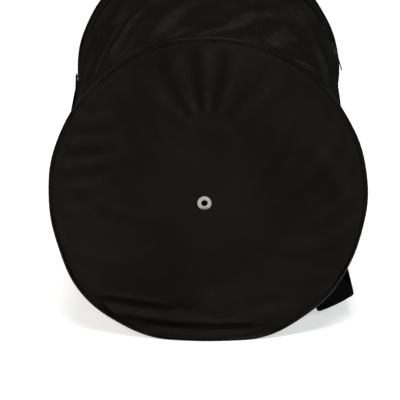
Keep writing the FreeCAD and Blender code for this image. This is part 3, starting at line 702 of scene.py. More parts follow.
def layer_piece(name: str, outer: np.ndarray, inner: np.ndarray, closed: bool, finish: object,
                cloth_map: np.ndarray, crest: np.ndarray | None = None) -> bpy.types.Object:
    """Make a closed layer between two grids of the same size.

    Args:
        name: The piece's name.
        outer: Grid of outer places, rows by columns by three.
        inner: Grid of inner places.
        closed: Whether the last row meets the first.
        finish: The finish.
        cloth_map: Place of each grid point along the cloth, one row more than the grid when closed.
        crest: Fold crest of each grid point; below zero, painted shade.

    Returns:
        The new object.
    """
    rows, columns = outer.shape[:2]
    if closed:
        outer = np.concatenate([outer, outer[:1]])
        inner = np.concatenate([inner, inner[:1]])
        crest = None if crest is None else np.concatenate([crest, crest[:1]])
        rows += 1
    number = np.arange(rows * columns).reshape(rows, columns)
    shift = rows * columns
    a, b = number[:-1, :-1], number[1:, :-1]
    c, d = number[1:, 1:], number[:-1, 1:]
    top = np.stack([a, b, c, d], -1).reshape(-1, 4)
    low = top[:, ::-1] + shift
    first, last = number[:, 0], number[:, -1]
    rims = [np.stack([first[:-1], first[:-1] + shift, first[1:] + shift, first[1:]], -1),
            np.stack([last[1:], last[1:] + shift, last[:-1] + shift, last[:-1]], -1)]
    if not closed:
        left, right = number[0, :], number[-1, :]
        rims.append(np.stack([left[1:], left[1:] + shift, left[:-1] + shift, left[:-1]], -1))
        rims.append(np.stack([right[:-1], right[:-1] + shift, right[1:] + shift, right[1:]], -1))
    faces = np.concatenate([top, low, *rims]).tolist()
    points = np.concatenate([outer.reshape(-1, 3), inner.reshape(-1, 3)])
    chart = cloth_map.reshape(-1, 2)
    height = None if crest is None else np.tile(crest.reshape(-1), 2)
    piece = mesh_piece(name, points, faces, finish, np.tile(chart, (2, 1)), height)
    if closed:
        merge_doubles(piece)
    return face_outward(piece)


def merge_doubles(piece: bpy.types.Object) -> None:
    """Join the places where a grid meets itself; the map keeps its own seam."""
    work = bmesh.new()
    work.from_mesh(piece.data)
    bmesh.ops.remove_doubles(work, verts=work.verts, dist=1e-6)
    work.to_mesh(piece.data)
    work.free()


def loop_piece(name: str, line: np.ndarray, radius: np.ndarray, finish: object) -> bpy.types.Object:
    """Sweep a round section along a closed line.

    Args:
        name: The piece's name.
        line: Places along the middle.
        radius: Radius for each place and side.
        finish: The finish.

    Returns:
        The new object.
    """
    count, sides = radius.shape
    run = unit(np.roll(line, -1, 0) - np.roll(line, 1, 0))
    first = unit(np.cross(run, -FORWARD))
    second = np.cross(run, first)
    turn = np.linspace(0.0, math.tau, sides, endpoint=False)
    arms = (np.cos(turn)[None, :, None] * first[:, None, :]
            + np.sin(turn)[None, :, None] * second[:, None, :])
    ring = line[:, None, :] + radius[..., None] * arms
    here = np.arange(count * sides).reshape(count, sides)
    following = np.roll(here, -1, 0)
    faces = np.stack([here, following, np.roll(following, -1, 1), np.roll(here, -1, 1)], -1)
    return face_outward(mesh_piece(name, ring.reshape(-1, 3), faces.reshape(-1, 4).tolist(), finish))


# ------------------------------------------------------------------ repeated things


def run_nodes(name: str, group: bpy.types.NodeTree, lines: list[np.ndarray], loops: bool,
              sizes: dict[str, object]) -> bpy.types.Object:
    """Run a geometry tree on some lines and keep the result as a plain mesh.

    Args:
        name: The piece's name.
        group: The tree.
        lines: Places along each line.
        loops: Whether each line is a loop.
        sizes: Values of the tree's inputs by name.

    Returns:
        The new object.
    """
    points, edges = [], []
    for line in lines:
        start = len(points)
        points += [tuple(point) for point in line]
        edges += [(start + index, start + index + 1) for index in range(len(line) - 1)]
        if loops:
            edges.append((start + len(line) - 1, start))
    path = bpy.data.meshes.new(name + "_path")
    path.from_pydata(points, edges, [])
    holder = bpy.data.objects.new(name + "_path", path)
    bpy.context.scene.collection.objects.link(holder)
    modifier = holder.modifiers.new("Repeat", "NODES")
    modifier.node_group = group
    for item in group.interface.items_tree:
        if item.item_type == "SOCKET" and item.in_out == "INPUT" and item.name in sizes:
            modifier[item.identifier] = sizes[item.name]
    bpy.context.view_layer.update()
    evaluated = holder.evaluated_get(bpy.context.evaluated_depsgraph_get())
    mesh = bpy.data.meshes.new_from_object(evaluated)
    mesh.name = name
    bpy.data.objects.remove(holder)
    piece = bpy.data.objects.new(name, mesh)
    bpy.context.scene.collection.objects.link(piece)
    return piece


def repeat_tree(name: str, extra: dict[str, object]) -> tuple:
    """Start a geometry tree that sets something out along a line.

    Returns:
        The tree, its graph, its input sockets, its output node and the points along the line.
    """
    group, graph, given, end = new_group(
        name, "GeometryNodeTree",
        {"Geometry": "NodeSocketGeometry", "Pitch": 3.0 * MM, **extra, "Material": "NodeSocketMaterial"},
        {"Geometry": "NodeSocketGeometry"})
    curve = graph.add("GeometryNodeMeshToCurve", {0: given["Geometry"]})
    spots = graph.add(
        "GeometryNodeCurveToPoints", {"Curve": curve.outputs[0], "Length": given["Pitch"]}, mode="LENGTH")
    return group, graph, given, end, spots.outputs


def close_tree(graph: Graph, given: object, end: bpy.types.Node, placed: dict) -> None:
    """Finish a geometry tree: set out its copies, make them real, smooth and painted.

    Args:
        graph: The tree's graph.
        given: Its input sockets.
        end: Its output node.
        placed: Inputs of the node that sets out the copies.
    """
    copies = graph.add("GeometryNodeInstanceOnPoints", placed)
    real = graph.add("GeometryNodeRealizeInstances", {0: copies.outputs["Instances"]})
    smooth = graph.add("GeometryNodeSetShadeSmooth", {0: real.outputs[0]})
    painted = graph.add("GeometryNodeSetMaterial", {0: smooth.outputs[0], "Material": given["Material"]})
    graph.join(painted.outputs[0], end.inputs[0])


def stitch_tree() -> bpy.types.NodeTree:
    """Build the tree that sews a row of stitches along a line.

    Returns:
        The tree, with its pitch, stitch length, thread radius and seed as inputs.
    """
    group, graph, given, end, spots = repeat_tree(
        "StitchRow", {"Stitch": 2.6 * MM, "Thread": 0.3 * MM, "Seed": "NodeSocketInt"})
    bead = graph.add("GeometryNodeMeshUVSphere", {"Segments": 6, "Rings": 4, "Radius": 1.0})
    half = graph.maths("MULTIPLY", given["Stitch"], 0.5)
    size = graph.add("ShaderNodeCombineXYZ", {0: given["Thread"], 1: given["Thread"], 2: half})
    shaped = graph.add(
        "GeometryNodeTransform", {"Geometry": bead.outputs["Mesh"], "Scale": size.outputs[0]})
    wobble = graph.add(
        "FunctionNodeRandomValue",
        {"Min": (0.85, 0.85, 0.88), "Max": (1.15, 1.15, 1.04), "Seed": given["Seed"]},
        data_type="FLOAT_VECTOR")
    close_tree(graph, given, end, {
        "Points": spots["Points"], "Instance": shaped.outputs[0], "Rotation": spots["Rotation"],
        "Scale": wobble.outputs[0]})
    return group


def coil_tree() -> bpy.types.NodeTree:
    """Build the tree that winds a zipper coil along a line.

    Returns:
        The tree, with its pitch, coil width, coil thickness and wire radius as inputs.
    """
    group, graph, given, end, spots = repeat_tree(
        "ZipperCoil", {"Width": 4.2 * MM, "Thickness": 2.2 * MM, "Wire": 0.42 * MM})
    loop = graph.add("GeometryNodeCurvePrimitiveCircle", {"Resolution": 9, "Radius": 0.5})
    inner, thin = (
        graph.maths("SUBTRACT", given[name], graph.maths("MULTIPLY", given["Wire"], 2.0))
        for name in ("Width", "Thickness"))
    size = graph.add("ShaderNodeCombineXYZ", {0: inner, 1: thin, 2: 1.0})
    shaped = graph.add("GeometryNodeTransform", {
        "Geometry": loop.outputs[0], "Scale": size.outputs[0], "Rotation": (math.radians(14.0), 0.0, 0.0)})
    wire = graph.add("GeometryNodeCurvePrimitiveCircle", {"Resolution": 5, "Radius": given["Wire"]})
    solid = graph.add(
        "GeometryNodeCurveToMesh", {"Curve": shaped.outputs[0], "Profile Curve": wire.outputs[0]})
    turned = graph.add("FunctionNodeAlignRotationToVector", {"Vector": spots["Tangent"]}, axis="Z")
    level = graph.add(
        "FunctionNodeAlignRotationToVector", {"Rotation": turned.outputs[0], "Vector": (0.0, 1.0, 0.0)},
        axis="X", pivot_axis="Z")
    close_tree(graph, given, end, {
        "Points": spots["Points"], "Instance": solid.outputs[0], "Rotation": level.outputs[0]})
    return group


class Sewing:
    """Rows of stitches, all from one tree."""

    def __init__(self) -> None:
        """Build the stitch tree."""
        self.tree = stitch_tree()
        self.seed = 0

    def row(self, name: str, lines: list[np.ndarray], loops: bool = False, pitch: float = 3.4 * MM,
            stitch: float = 2.9 * MM, thread: float = 0.33 * MM) -> bpy.types.Object:
        """Sew along some lines.

        Args:
            name: The piece's name.
            lines: Places along each line.
            loops: Whether each line is a loop.
            pitch: Distance between stitches.
            stitch: Length of a stitch.
            thread: Radius of the thread.

        Returns:
            The stitches as one piece.
        """
        self.seed += 1
        return run_nodes(name, self.tree, lines, loops, {
            "Pitch": pitch, "Stitch": stitch, "Thread": thread, "Seed": self.seed,
            "Material": THREAD.material()})

    def ring(self, name: str, wall: Wall, place: float, lift: Lift, depth: float = 0.0,
             raised: float = SEWN_LIFT, count: int = 420) -> bpy.types.Object:
        """Sew once round a wall.

        Args:
            name: The piece's name.
            wall: The wall.
            place: Distance along the wall.
            lift: The wall's own relief.
            depth: How far below the outside.
            raised: How far the thread stands off the cloth.
            count: Number of places round the wall.

        Returns:
            The stitches as one piece.
        """
        angle = round_trip(count)
        share = np.full(angle.shape, place / wall.length())
        line = wall.points(angle, share, depth, lift(angle, share) + raised)
        return self.row(name, [line], loops=True)


def report(piece: bpy.types.Object, note: str = "") -> bpy.types.Object:
    """Log a finished piece with its number of faces."""
    log.info("%-22s %7d faces  %s", piece.name, len(piece.data.polygons), note)
    return piece


def settle(piece: bpy.types.Object, body: Body, slot: Slot, *nodes: str) -> bpy.types.Object:
    """Hang a finished piece on its body and let it stand for its CAD nodes.

    Returns:
        The same piece.
    """
    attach(piece, body.value)
    if nodes:
        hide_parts(*nodes)
    return report(piece, body.value)


# ------------------------------------------------------------------ the bag

AXIS_X = 1.5642 * MM
MOUTH_HEIGHT = 187.0 * MM
NEAR_RIM = Section(
    (AXIS_X, -174.2246 * MM, 174.1583 * MM), 187.8 * MM, 12.0 * MM, lean=12.0,
    bulges=((221.0, 15.0, 5.6 * MM), (-38.0, 12.0, 1.6 * MM)), foot_bow=8.0 * MM)
MOUTH = Section((AXIS_X, 141.7754 * MM, MOUTH_HEIGHT), 181.5 * MM, 0.2 * MM)
LID_MOUTH = Section((AXIS_X, 163.7754 * MM, MOUTH_HEIGHT), 181.5 * MM, 0.2 * MM)
LID_RIM = Section(
    (AXIS_X, 210.7754 * MM, MOUTH_HEIGHT), 187.8 * MM, 3.0 * MM,
    bulges=((35.0, 30.0, -4.5 * MM), (145.0, 30.0, -4.5 * MM)))
SEAM_ANGLE = 70.0
TUBE_CREASES = creases(
    (96, 20, 83, 72, 55, 214, 3.4, 10, 15, 0.3), (99, 22, 90, 62, 76, 118, -2.4, 10, 8, 0.3),
    (131, 70, 128, 140, 116, 200, 3.6, 8, 14, 0.25), (135, 76, 132, 142, 121, 205, -2.6, 12, 7, 0.25),
    (146, 250, 139, 232, 131, 192, -1.1, 9, 12, 0.35), (148, 266, 141, 248, 129, 214, 1, 11, 10, 0.35),
    (66, 40, 60, 95, 48, 150, 2.2, 8, 12, 0.3), (63, 30, 54, 62, 44, 96, -1.8, 8, 10, 0.3),
    (58, 22, 50, 46, 40, 66, 1.8, 7, 9, 0.3), (40, 60, 33, 130, 31, 200, 2, 12, 16, 0.4),
    (150, 30, 156, 110, 160, 200, 2.4, 14, 12, 0.4), (112, 30, 108, 90, 98, 160, 2, 16, 20, 0.4),
    (20, 40, 8, 120, 4, 220, 2.4, 14, 18, 0.35), (172, 60, 184, 130, 186, 210, -1.6, 16, 12, 0.35),
    (-20, 60, -26, 130, -30, 220, 1.6, 16, 12, 0.35), (212, 40, 222, 120, 226, 220, 2.4, 12, 18, 0.35),
    (224, 4, 229, 46, 231, 120, 9, 26, 30, 0.12))


@dataclass
class TubeWall:
    """The bag's side: nylon cover, foam and lining, sagging between its two ends."""

    wall: Wall = field(default_factory=lambda: Wall(NEAR_RIM, MOUTH))
    first: float = 2.5 * MM
    foam_end: float = 9.6 * MM
    cover_thickness: float = 1.0 * MM
    foam_start: float = 1.3 * MM
    foam_thickness: float = 8.0 * MM
    lining_start: float = 9.6 * MM
    lining_thickness: float = 0.8 * MM
    waist: float = 15.0 * MM
    top_sag: float = 13.0 * MM
    dent: float = 3.0 * MM
    dent_angle: float = 180.0
    dent_spread: float = 14.0
    gather: float = 1.0 * MM
    seam_groove: float = 1.1 * MM
    seam_ridge: float = 0.5 * MM
    broad_folds: tuple[float, float, int] = (120.0, 1.6, 11)
    small_folds: tuple[float, float, int] = (46.0, 0.5, 12)
    creases: tuple[Crease, ...] = TUBE_CREASES

    def reach(self) -> float:
        """Length of the wall."""
        return self.wall.length()

    def lift(self, angle: np.ndarray, share: np.ndarray) -> np.ndarray:
        """How far the slack wall stands out from its plain shape.

        Args:
            angle: Degrees round the wall.
            share: 0 at the bottom rim and 1 at the mouth.

        Returns:
            The lift, mostly inward, and nothing at both ends.
        """
        turned = (angle + 90.0) % 360.0 - 90.0
        along = share * self.reach() / MM
        across = np.radians(turned) * WALL_RADIUS
        rise = np.sin(np.radians(turned))
        hollow = (share ** 0.62 * (1.0 - share) ** 0.9) / 0.565
        upper = ease(np.clip((rise + 0.45) / 0.6, 0.0, 1.0))
        top = np.clip((rise - 0.45) / 0.5, 0.0, 1.0)
        total = -hollow * upper * (self.waist * (1.0 - top) + self.top_sag * top)
        dent = np.exp(-(((turned - self.dent_angle) / self.dent_spread) ** 2))
        total = total - self.dent * hollow * dent
        free = np.clip((rise + 0.93) / 0.14, 0.0, 1.0)
        held = np.clip(np.minimum(share / 0.05, (1.0 - share) / 0.05), 0.0, 1.0) * (0.1 + 0.9 * free)
        folds = (undulate(across, along, *self.broad_folds)
                 + undulate(across, along * 0.5, *self.small_folds))
        for crease in self.creases:
            line = Crease(*((math.radians(place[0]) * WALL_RADIUS, place[1])
                            for place in (crease.start, crease.bend, crease.end)),
                          crease.height, crease.width, crease.far_width, crease.fade)
            folds = folds + line.lift(across, along)
        total = total + folds * held * MM
        pucker = np.sin(across / 3.1 + 2.2 * np.sin(across / 23.0)) * (0.6 + 0.4 * np.sin(across / 41.0))
        fade = np.exp(-along / 15.0) + 0.6 * np.exp(-(self.reach() / MM - along) / 12.0)
        total = total + self.gather * pucker * fade * (0.2 + 0.8 * upper) * np.clip(along / 4.0, 0.0, 1.0)
        seam = np.radians(turned - SEAM_ANGLE) * WALL_RADIUS
        groove = self.seam_groove * np.exp(-((seam / 1.3) ** 2))
        return total - groove + self.seam_ridge * np.exp(-(((seam - 5.0) / 3.5) ** 2))

    def grid(self, rows: int, columns: int, depth: object, start: float, end: float) -> tuple:
        """A grid over the wall.

        Args:
            rows: Places round the wall.
            columns: Places along it.
            depth: Depth of the layer's face, one number or one for each column.
            start: First place along the wall, in metres.
            end: Last place along the wall.

        Returns:
            The places, the cloth map and the crest value of each.
        """
        angle = round_trip(rows)
        share = np.linspace(start, end, columns) / self.reach()
        angles, shares = lattice(angle, share)
        lift = self.lift(angles, shares)
        depths = np.broadcast_to(depth, angles.shape)
        points = self.wall.points(angles, shares, depths, lift)
        chart = wrap_map(WALL_RADIUS * MM, rows, share * self.reach())
        smooth = lift - (np.roll(lift, 5, 0) + np.roll(lift, -5, 0)) / 2.0
        # Below zero the crest paints shade into valleys; the first two columns get the painted shadow beside
        # the piping.
        crest = np.clip(smooth / (1.1 * MM), -0.15, 0.8)
        crest[:, :2] = EDGE_SHADE
        return points, chart, crest

    def build(self, sewing: Sewing) -> None:
        """Build the cover, the foam, the lining and the seam's stitches."""
        length = self.reach()
        edge = length - 0.2 * MM
        outer, chart, crest = self.grid(300, 104, 0.0, self.first, edge)
        inner, _, _ = self.grid(300, 104, self.cover_thickness, self.first, edge)
        cover = layer_piece("tube_cover", outer, inner, True, OUTER_NYLON, chart, crest)
        settle(cover, Body.BAG, Slot.NYLON, "shell")
        foam_end = length - self.foam_end
        start = self.first + 1.0 * MM
        outer, chart, _ = self.grid(200, 64, self.foam_start, start, foam_end)
        inner, _, _ = self.grid(200, 64, self.foam_start + self.foam_thickness, start, foam_end)
        foam = layer_piece("tube_padding", outer, inner, True, FOAM, chart)
        settle(foam, Body.BAG, Slot.PADDING, "shell_foam")
        turn = np.zeros(66)
        turn[-3:] = (0.6 * MM, 3.6 * MM, 7.2 * MM)
        last = foam_end + 1.0 * MM
        even = np.linspace(start, foam_end - 0.4 * MM, 63)
        places = np.concatenate([even, [foam_end + 0.5 * MM, last, last]])
        lining = self.lining(places, turn)
        settle(lining, Body.BAG, Slot.LINING, "shell_lining")
        self.sew(sewing, length)

    def lining(self, places: np.ndarray, turn: np.ndarray) -> bpy.types.Object:
        """Build the lining, whose edge at the mouth turns out over the foam.

        Args:
            places: Places along the wall.
            turn: How far the lining has turned out at each place.

        Returns:
            The lining.
        """
        rows = 200
        angle = round_trip(rows)
        angles, shares = lattice(angle, places / self.reach())
        lift = self.lift(angles, shares)
        depth = np.broadcast_to(self.lining_start - turn, angles.shape)
        outer = self.wall.points(angles, shares, depth, lift)
        thick = self.lining_thickness
        inner = self.wall.points(angles, shares + np.where(turn > 1.0 * MM, thick / self.reach(), 0.0),
                                 depth + np.where(turn > 3.0 * MM, 0.0, thick), lift)
        chart = wrap_map(0.176, rows, places + turn)
        return layer_piece("tube_lining", outer, inner, True, LINING_CLOTH, chart)

    def sew(self, sewing: Sewing, length: float) -> None:
        """Sew the seam along the tube and the row beside the zipper."""
        share = np.linspace(0.02, 0.985, 160)
        angle = np.full(share.shape, SEAM_ANGLE + 0.7)
        seam = self.wall.points(angle, share, 0.0, self.lift(angle, share) + SEWN_LIFT)
        settle(sewing.row("tube_seam_stitches", [seam]), Body.BAG, Slot.NYLON)
        edge = sewing.ring("mouth_stitches", self.wall, length - EDGE_MARGIN, self.lift)
        settle(edge, Body.BAG, Slot.NYLON)


@dataclass(frozen=True)
class PanelShape:
    """Relief of one flat end of the bag, in millimetres from the middle of its rim."""

    creases: tuple[Crease, ...]
    swell: float
    crown: float
    seed: int

    def lift(self, x: np.ndarray, y: np.ndarray, radius: float) -> np.ndarray:
        """How far the panel stands out, in metres, at places in millimetres."""
        gone = np.clip(1.0 - np.hypot(x, y) / (radius / MM), 0.0, 1.0)
        held = ease(np.clip(gone / 0.05, 0.0, 1.0))
        swell = undulate(x, y, 130.0, self.swell, self.seed)
        total = self.crown * (1.0 - np.exp(-gone / 0.06)) + swell * held
        for crease in self.creases:
            total = total + crease.lift(x, y) * np.clip(gone / 0.015, 0.0, 1.0)
        angle = np.arctan2(y, x) * radius / MM
        pucker = np.sin(angle / 2.9 + 1.7 * np.sin(angle / 31.0)) * np.exp(-gone * radius / MM / 7.0)
        return (total + 0.28 * pucker * np.clip(gone / 0.01, 0.0, 1.0)) * MM


def panel_grid(section: Section, margin: float, hub: tuple[float, float], hole: float, rings: int,
               spokes: int) -> tuple[np.ndarray, np.ndarray]:
    """Set out places over a panel, from a round hole or a middle point to its edge.

    Args:
        section: The rim that the panel fills.
        margin: How far the panel's edge is inside the rim.
        hub: Place of the hole's middle in the panel's plane.
        hole: Radius of the hole.
        rings: Number of rings.
        spokes: Number of spokes.

    Returns:
        Sideways and upward places in the panel's plane, spokes by rings.
    """
    angle = round_trip(spokes)
    across, rise, _, _ = section.flat(angle, margin)
    start_x = hub[0] + hole * np.cos(np.radians(angle))
    start_y = hub[1] + hole * np.sin(np.radians(angle))
    share = np.linspace(0.0, 1.0, rings)
    outer = (share - INNER_RINGS) / (1.0 - INNER_RINGS)
    share = np.where(
        share < INNER_RINGS, share / INNER_RINGS * INNER_REACH, INNER_REACH + outer * (1.0 - INNER_REACH))
    x = start_x[:, None] * (1.0 - share) + across[:, None] * share
    y = start_y[:, None] * (1.0 - share) + rise[:, None] * share
    return x, y


@dataclass(frozen=True)
class SlackCloth:
    """Cloth simulation of a panel cut a little too large for its rim, hanging under its own weight."""

    slack: float = 0.011
    frames: int = 26
    cap: float = 3.0 * MM
    share: float = 0.42
    clear: tuple[float, float] = (40.0 * MM, 125.0 * MM)
    rings: int = 46
    spokes: int = 180
    margin: float = 1.9 * MM

    def drape(self, panel: "EndPanel") -> np.ndarray:
        """Let the panel's cloth hang from its rim and its vent hole.

        Args:
            panel: The panel.

        Returns:
            How far out the cloth has moved, spokes by rings.
        """
        x, y = panel_grid(panel.section, self.margin, panel.hub, 12.0 * MM, self.rings, self.spokes)
        start = panel.shape.lift(x / MM, y / MM, panel.section.radius - self.margin)
        places = panel.point(x, y, start)
        number = np.arange(x.size).reshape(x.shape)
        following = np.roll(number, -1, 0)
        faces = np.stack([number[:, :-1], following[:, :-1], following[:, 1:], number[:, 1:]], -1)
        sheet = mesh_piece(
            "slack_cloth", places.reshape(-1, 3), faces.reshape(-1, 4).tolist(), OUTER_NYLON)
        held = sheet.vertex_groups.new(name="held")
        held.add([int(index) for index in (*number[:, 0], *number[:, -1])], 1.0, "REPLACE")
        cloth = sheet.modifiers.new("Cloth", "CLOTH")
        settings = cloth.settings
        settings.quality, settings.mass, settings.air_damping = 6, 0.25, 2.0
        settings.tension_stiffness = settings.compression_stiffness = 12.0
        settings.shear_stiffness, settings.bending_stiffness = 6.0, 2.5
        settings.vertex_group_mass = "held"
        settings.shrink_min = settings.shrink_max = -self.slack
        cloth.point_cache.frame_start, cloth.point_cache.frame_end = 1, self.frames
        scene = bpy.context.scene
        for step in range(1, self.frames + 1):
            scene.frame_set(step)
        evaluated = sheet.evaluated_get(bpy.context.evaluated_depsgraph_get())
        moved = np.array([vertex.co for vertex in evaluated.data.vertices], float).reshape(places.shape)
        bpy.data.objects.remove(sheet)
        scene.frame_set(1)
        out = (moved - places) @ (panel.outward * panel.section.out())
        folds = self.without_sag(out, x, y, panel.section.radius)
        near, far = self.clear
        gone = np.clip((np.hypot(x - panel.hub[0], y - panel.hub[1]) - near) / (far - near), 0.0, 1.0)
        for _ in range(3):
            folds = (np.roll(folds, 1, 0) + 2.0 * folds + np.roll(folds, -1, 0)) / 4.0
        return folds * ease(gone) * self.share

    def without_sag(self, out: np.ndarray, x: np.ndarray, y: np.ndarray, radius: float) -> np.ndarray:
        """Take away the broad sag that the padding behind would hold, and keep the folds.

        Returns:
            The folds alone, no higher than the cap.
        """
        across, rise = x / radius, y / radius
        rim = 1.0 - (across**2 + rise**2)
        terms = [rim, rim * across, rim * rise, rim * across**2, rim * across * rise, rim * rise**2]
        table = np.stack([term.reshape(-1) for term in terms], -1)
        weights, *_ = np.linalg.lstsq(table, out.reshape(-1), rcond=None)
        folds = out - (table @ weights).reshape(out.shape) * 0.9
        log.info("slack cloth: folds from %.1f to %.1f mm", folds.min() / MM, folds.max() / MM)
        return self.cap * np.tanh(folds / self.cap)


@dataclass
class EndPanel:
    """One flat end: cover, foam and lining, with piping round it and tape over its inner seam."""

    label: str
    section: Section
    outward: float
    body: Body
    shape: PanelShape
    hub: tuple[float, float] = (0.0, 0.0)
    hole: float = 0.05 * MM
    margin: float = 1.1 * MM
    piping_radius: float = 2.2 * MM
    slack: SlackCloth | None = None
    hang: np.ndarray | None = None

    def hung(self, spokes: int, rings: int) -> np.ndarray:
        """The simulated folds at the places of a layer's grid, spokes by rings."""
        if self.hang is None:
            return np.zeros((spokes, rings))
        table = np.concatenate([self.hang, self.hang[:1]])
        row = np.linspace(0.0, len(self.hang), spokes, endpoint=False)
        column = np.linspace(0.0, table.shape[1] - 1.0, rings)
        low_row, low_column = row.astype(int), np.minimum(column.astype(int), table.shape[1] - 2)
        part_row, part_column = (row - low_row)[:, None], (column - low_column)[None, :]
        here, beyond = table[low_row], table[low_row + 1]
        first = here[:, low_column] * (1.0 - part_column) + here[:, low_column + 1] * part_column
        second = beyond[:, low_column] * (1.0 - part_column) + beyond[:, low_column + 1] * part_column
        return first * (1.0 - part_row) + second * part_row

    def point(self, x: np.ndarray, y: np.ndarray, out: np.ndarray) -> np.ndarray:
        """Places in the world from places in the panel's plane and outward from it."""
        return (np.array(self.section.centre) + x[..., None] * SIDEWAYS
                + y[..., None] * self.section.up() + (self.outward * out)[..., None] * self.section.out()
                + self.section.bow(x, y))

    def layer(self, name: str, top: float, thickness: float, margin: float, finish: object, rings: int,
              spokes: int) -> bpy.types.Object:
        """Build one layer of the panel.

        Args:
            name: The layer's name, after the panel's label.
            top: Height of the layer's outer face.
            thickness: Its thickness.
            margin: How far its edge is inside the rim.
            finish: The finish.
            rings: Number of rings.
            spokes: Number of spokes.

        Returns:
            The layer.
        """
        x, y = panel_grid(self.section, margin, self.hub, self.hole, rings, spokes)
        lift = self.shape.lift(x / MM, y / MM, self.section.radius - margin) + self.hung(spokes, rings)
        near_hub = np.exp(-((np.hypot(x - self.hub[0], y - self.hub[1]) / (36.0 * MM)) ** 2))
        lift = lift * (1.0 - (near_hub if self.hub != (0.0, 0.0) else 0.0))
        outer = self.point(x, y, top + lift)
        inner = self.point(x, y, top - thickness + lift)
        chart = np.stack([x, y], -1)
        chart = np.concatenate([chart, chart[:1]])
        along = lift - (np.roll(lift, 4, 1) + np.roll(lift, -4, 1)) / 2.0
        round_it = lift - (np.roll(lift, 4, 0) + np.roll(lift, -4, 0)) / 2.0
        # Below zero the crest paints shade into valleys; the last two rings get the painted shadow beside the
        # piping.
        crest = np.clip((along + 0.3 * round_it) / (1.5 * MM), -0.7, 0.4) * (1.0 - near_hub)
        crest[:, :6] = 0.0
        crest[:, -2:] = EDGE_SHADE
        return layer_piece(f"{self.label}_{name}", outer, inner, True, finish, chart, crest)

    def build(self) -> None:
        """Build the panel's layers and its piping."""
        if self.slack:
            self.hang = self.slack.drape(self)
        cover = self.layer("cover", 0.5 * MM, 1.0 * MM, self.margin, OUTER_NYLON, 112, 300)
        settle(cover, self.body, Slot.NYLON, f"{self.label}_panel")
        foam = self.layer("padding", -1.6 * MM, 4.7 * MM, 4.4 * MM, FOAM, 60, 240)
        settle(foam, self.body, Slot.PADDING, f"{self.label}_foam")
        lining = self.layer("inner_cloth", -6.9 * MM, 0.8 * MM, 3.2 * MM, LINING_CLOTH, 60, 240)
        settle(lining, self.body, Slot.LINING, f"{self.label}_lining")
        settle(self.piping(), self.body, Slot.PIPING, f"{self.label}_piping")

    def piping(self) -> bpy.types.Object:
        """Build the vinyl piping, which wavers and wrinkles a little along the rim.

        Returns:
            The piping.
        """
        count, sides = 720, 14
        angle = round_trip(count)
        turn = np.radians(angle)
        stray = 0.35 * MM * (np.sin(7.0 * turn + 0.6) + 0.7 * np.sin(17.0 * turn + 2.0)) * np.clip(
            (np.sin(turn) + 0.85) / 0.3, 0.0, 1.0)
        across, rise, side, top = self.section.flat(angle)
        line = self.point(across + side * stray, rise + top * stray, stray * 0.6)
        corner = np.linspace(0.0, math.tau, sides, endpoint=False)
        wave = np.sin(160.0 * turn + 2.0 * np.sin(11.0 * turn))
        ripple = 0.05 * MM * wave[:, None] * np.cos(corner)[None, :]
        return loop_piece(f"{self.label}_welt", line, self.piping_radius + ripple, PIPING_VINYL)


BOTTOM_CREASES = creases(
    (-34, 181, -27, 138, -8, 88, 1.3, 6, 7, 0.2), (-58, 172, -40, 128, -14, 88, -1.1, 7, 6, 0.2),
    (-15, 184, -12, 140, -4, 84, -1.1, 5.5, 5.5, 0.2), (3, 185, 1, 140, -1, 82, 1.3, 6, 6, 0.2),
    (22, 184, 15, 138, 4, 84, -1.1, 6, 5.5, 0.2), (40, 180, 28, 136, 8, 86, 1.3, 6, 7, 0.2),
    (72, 166, 46, 126, 14, 84, -1, 8, 8, 0.2), (94, 152, 62, 118, 20, 80, 0.9, 9, 10, 0.3),
    (-84, 158, -54, 120, -20, 84, 0.9, 8, 9, 0.25), (-30, 82, 0, 70, 28, 82, -1, 16, 26, 0.4),
    (-176, 72, -140, 70, -108, 74, 0.8, 6, 8, 0.3), (-179, 58, -146, 55, -108, 58, -0.6, 6, 8, 0.3),
    (-181, 42, -146, 44, -92, 52, 0.9, 6, 9, 0.3), (-182, 28, -150, 29, -112, 35, -0.6, 6, 8, 0.3),
    (-183, 12, -148, 16, -106, 26, 0.8, 6, 9, 0.3), (-183, -12, -150, -10, -118, -2, 0.7, 7, 9, 0.3),
    (-161, 98, -134, 96, -104, 100, 0.7, 7, 9, 0.3), (96, 66, 140, 22, 168, -30, -1, 10, 16, 0.4),
    (112, 78, 152, 36, 176, -12, 0.9, 10, 16, 0.4), (84, 30, 118, 0, 140, -44, 0.6, 14, 20, 0.4),
    (-136, -126, -88, -134, -34, -141, -3.2, 4, 3.4, 0.3), (-132, -136, -80, -145, 14, -150, 4.8, 9, 6, 0.25),
    (-80, -156, -10, -160, 70, -161, -3.2, 4, 3.2, 0.25), (-84, -165, 0, -169, 76, -168, 3.2, 5, 4.5, 0.25),
    (20, -138, 70, -141, 122, -130, 1.2, 10, 14, 0.4))
LID_CREASES = creases(
    (-120, 96, -60, 60, -10, 50, 1.2, 9, 13, 0.4), (40, 150, 60, 90, 66, 40, -1, 10, 10, 0.4),
    (-90, -120, 0, -138, 90, -124, 2, 7, 12, 0.35), (-100, -108, 0, -126, 96, -112, -1.6, 6, 10, 0.35),
    (-20, 176, -8, 140, 4, 104, 0.9, 6, 7, 0.35))


def bottom_end() -> EndPanel:
    """The bottom panel with its vent hole."""
    return EndPanel(
        "bottom", NEAR_RIM, 1.0, Body.BAG, PanelShape(BOTTOM_CREASES, 1.0, 1.1, 3),
        hub=(-4.0 * MM, -8.0 * MM), hole=4.9 * MM, slack=SlackCloth())


def lid_end() -> EndPanel:
    """The lid's top panel."""
    return EndPanel("lid", LID_RIM, -1.0, Body.LID, PanelShape(LID_CREASES, 1.0, 2.0, 5))


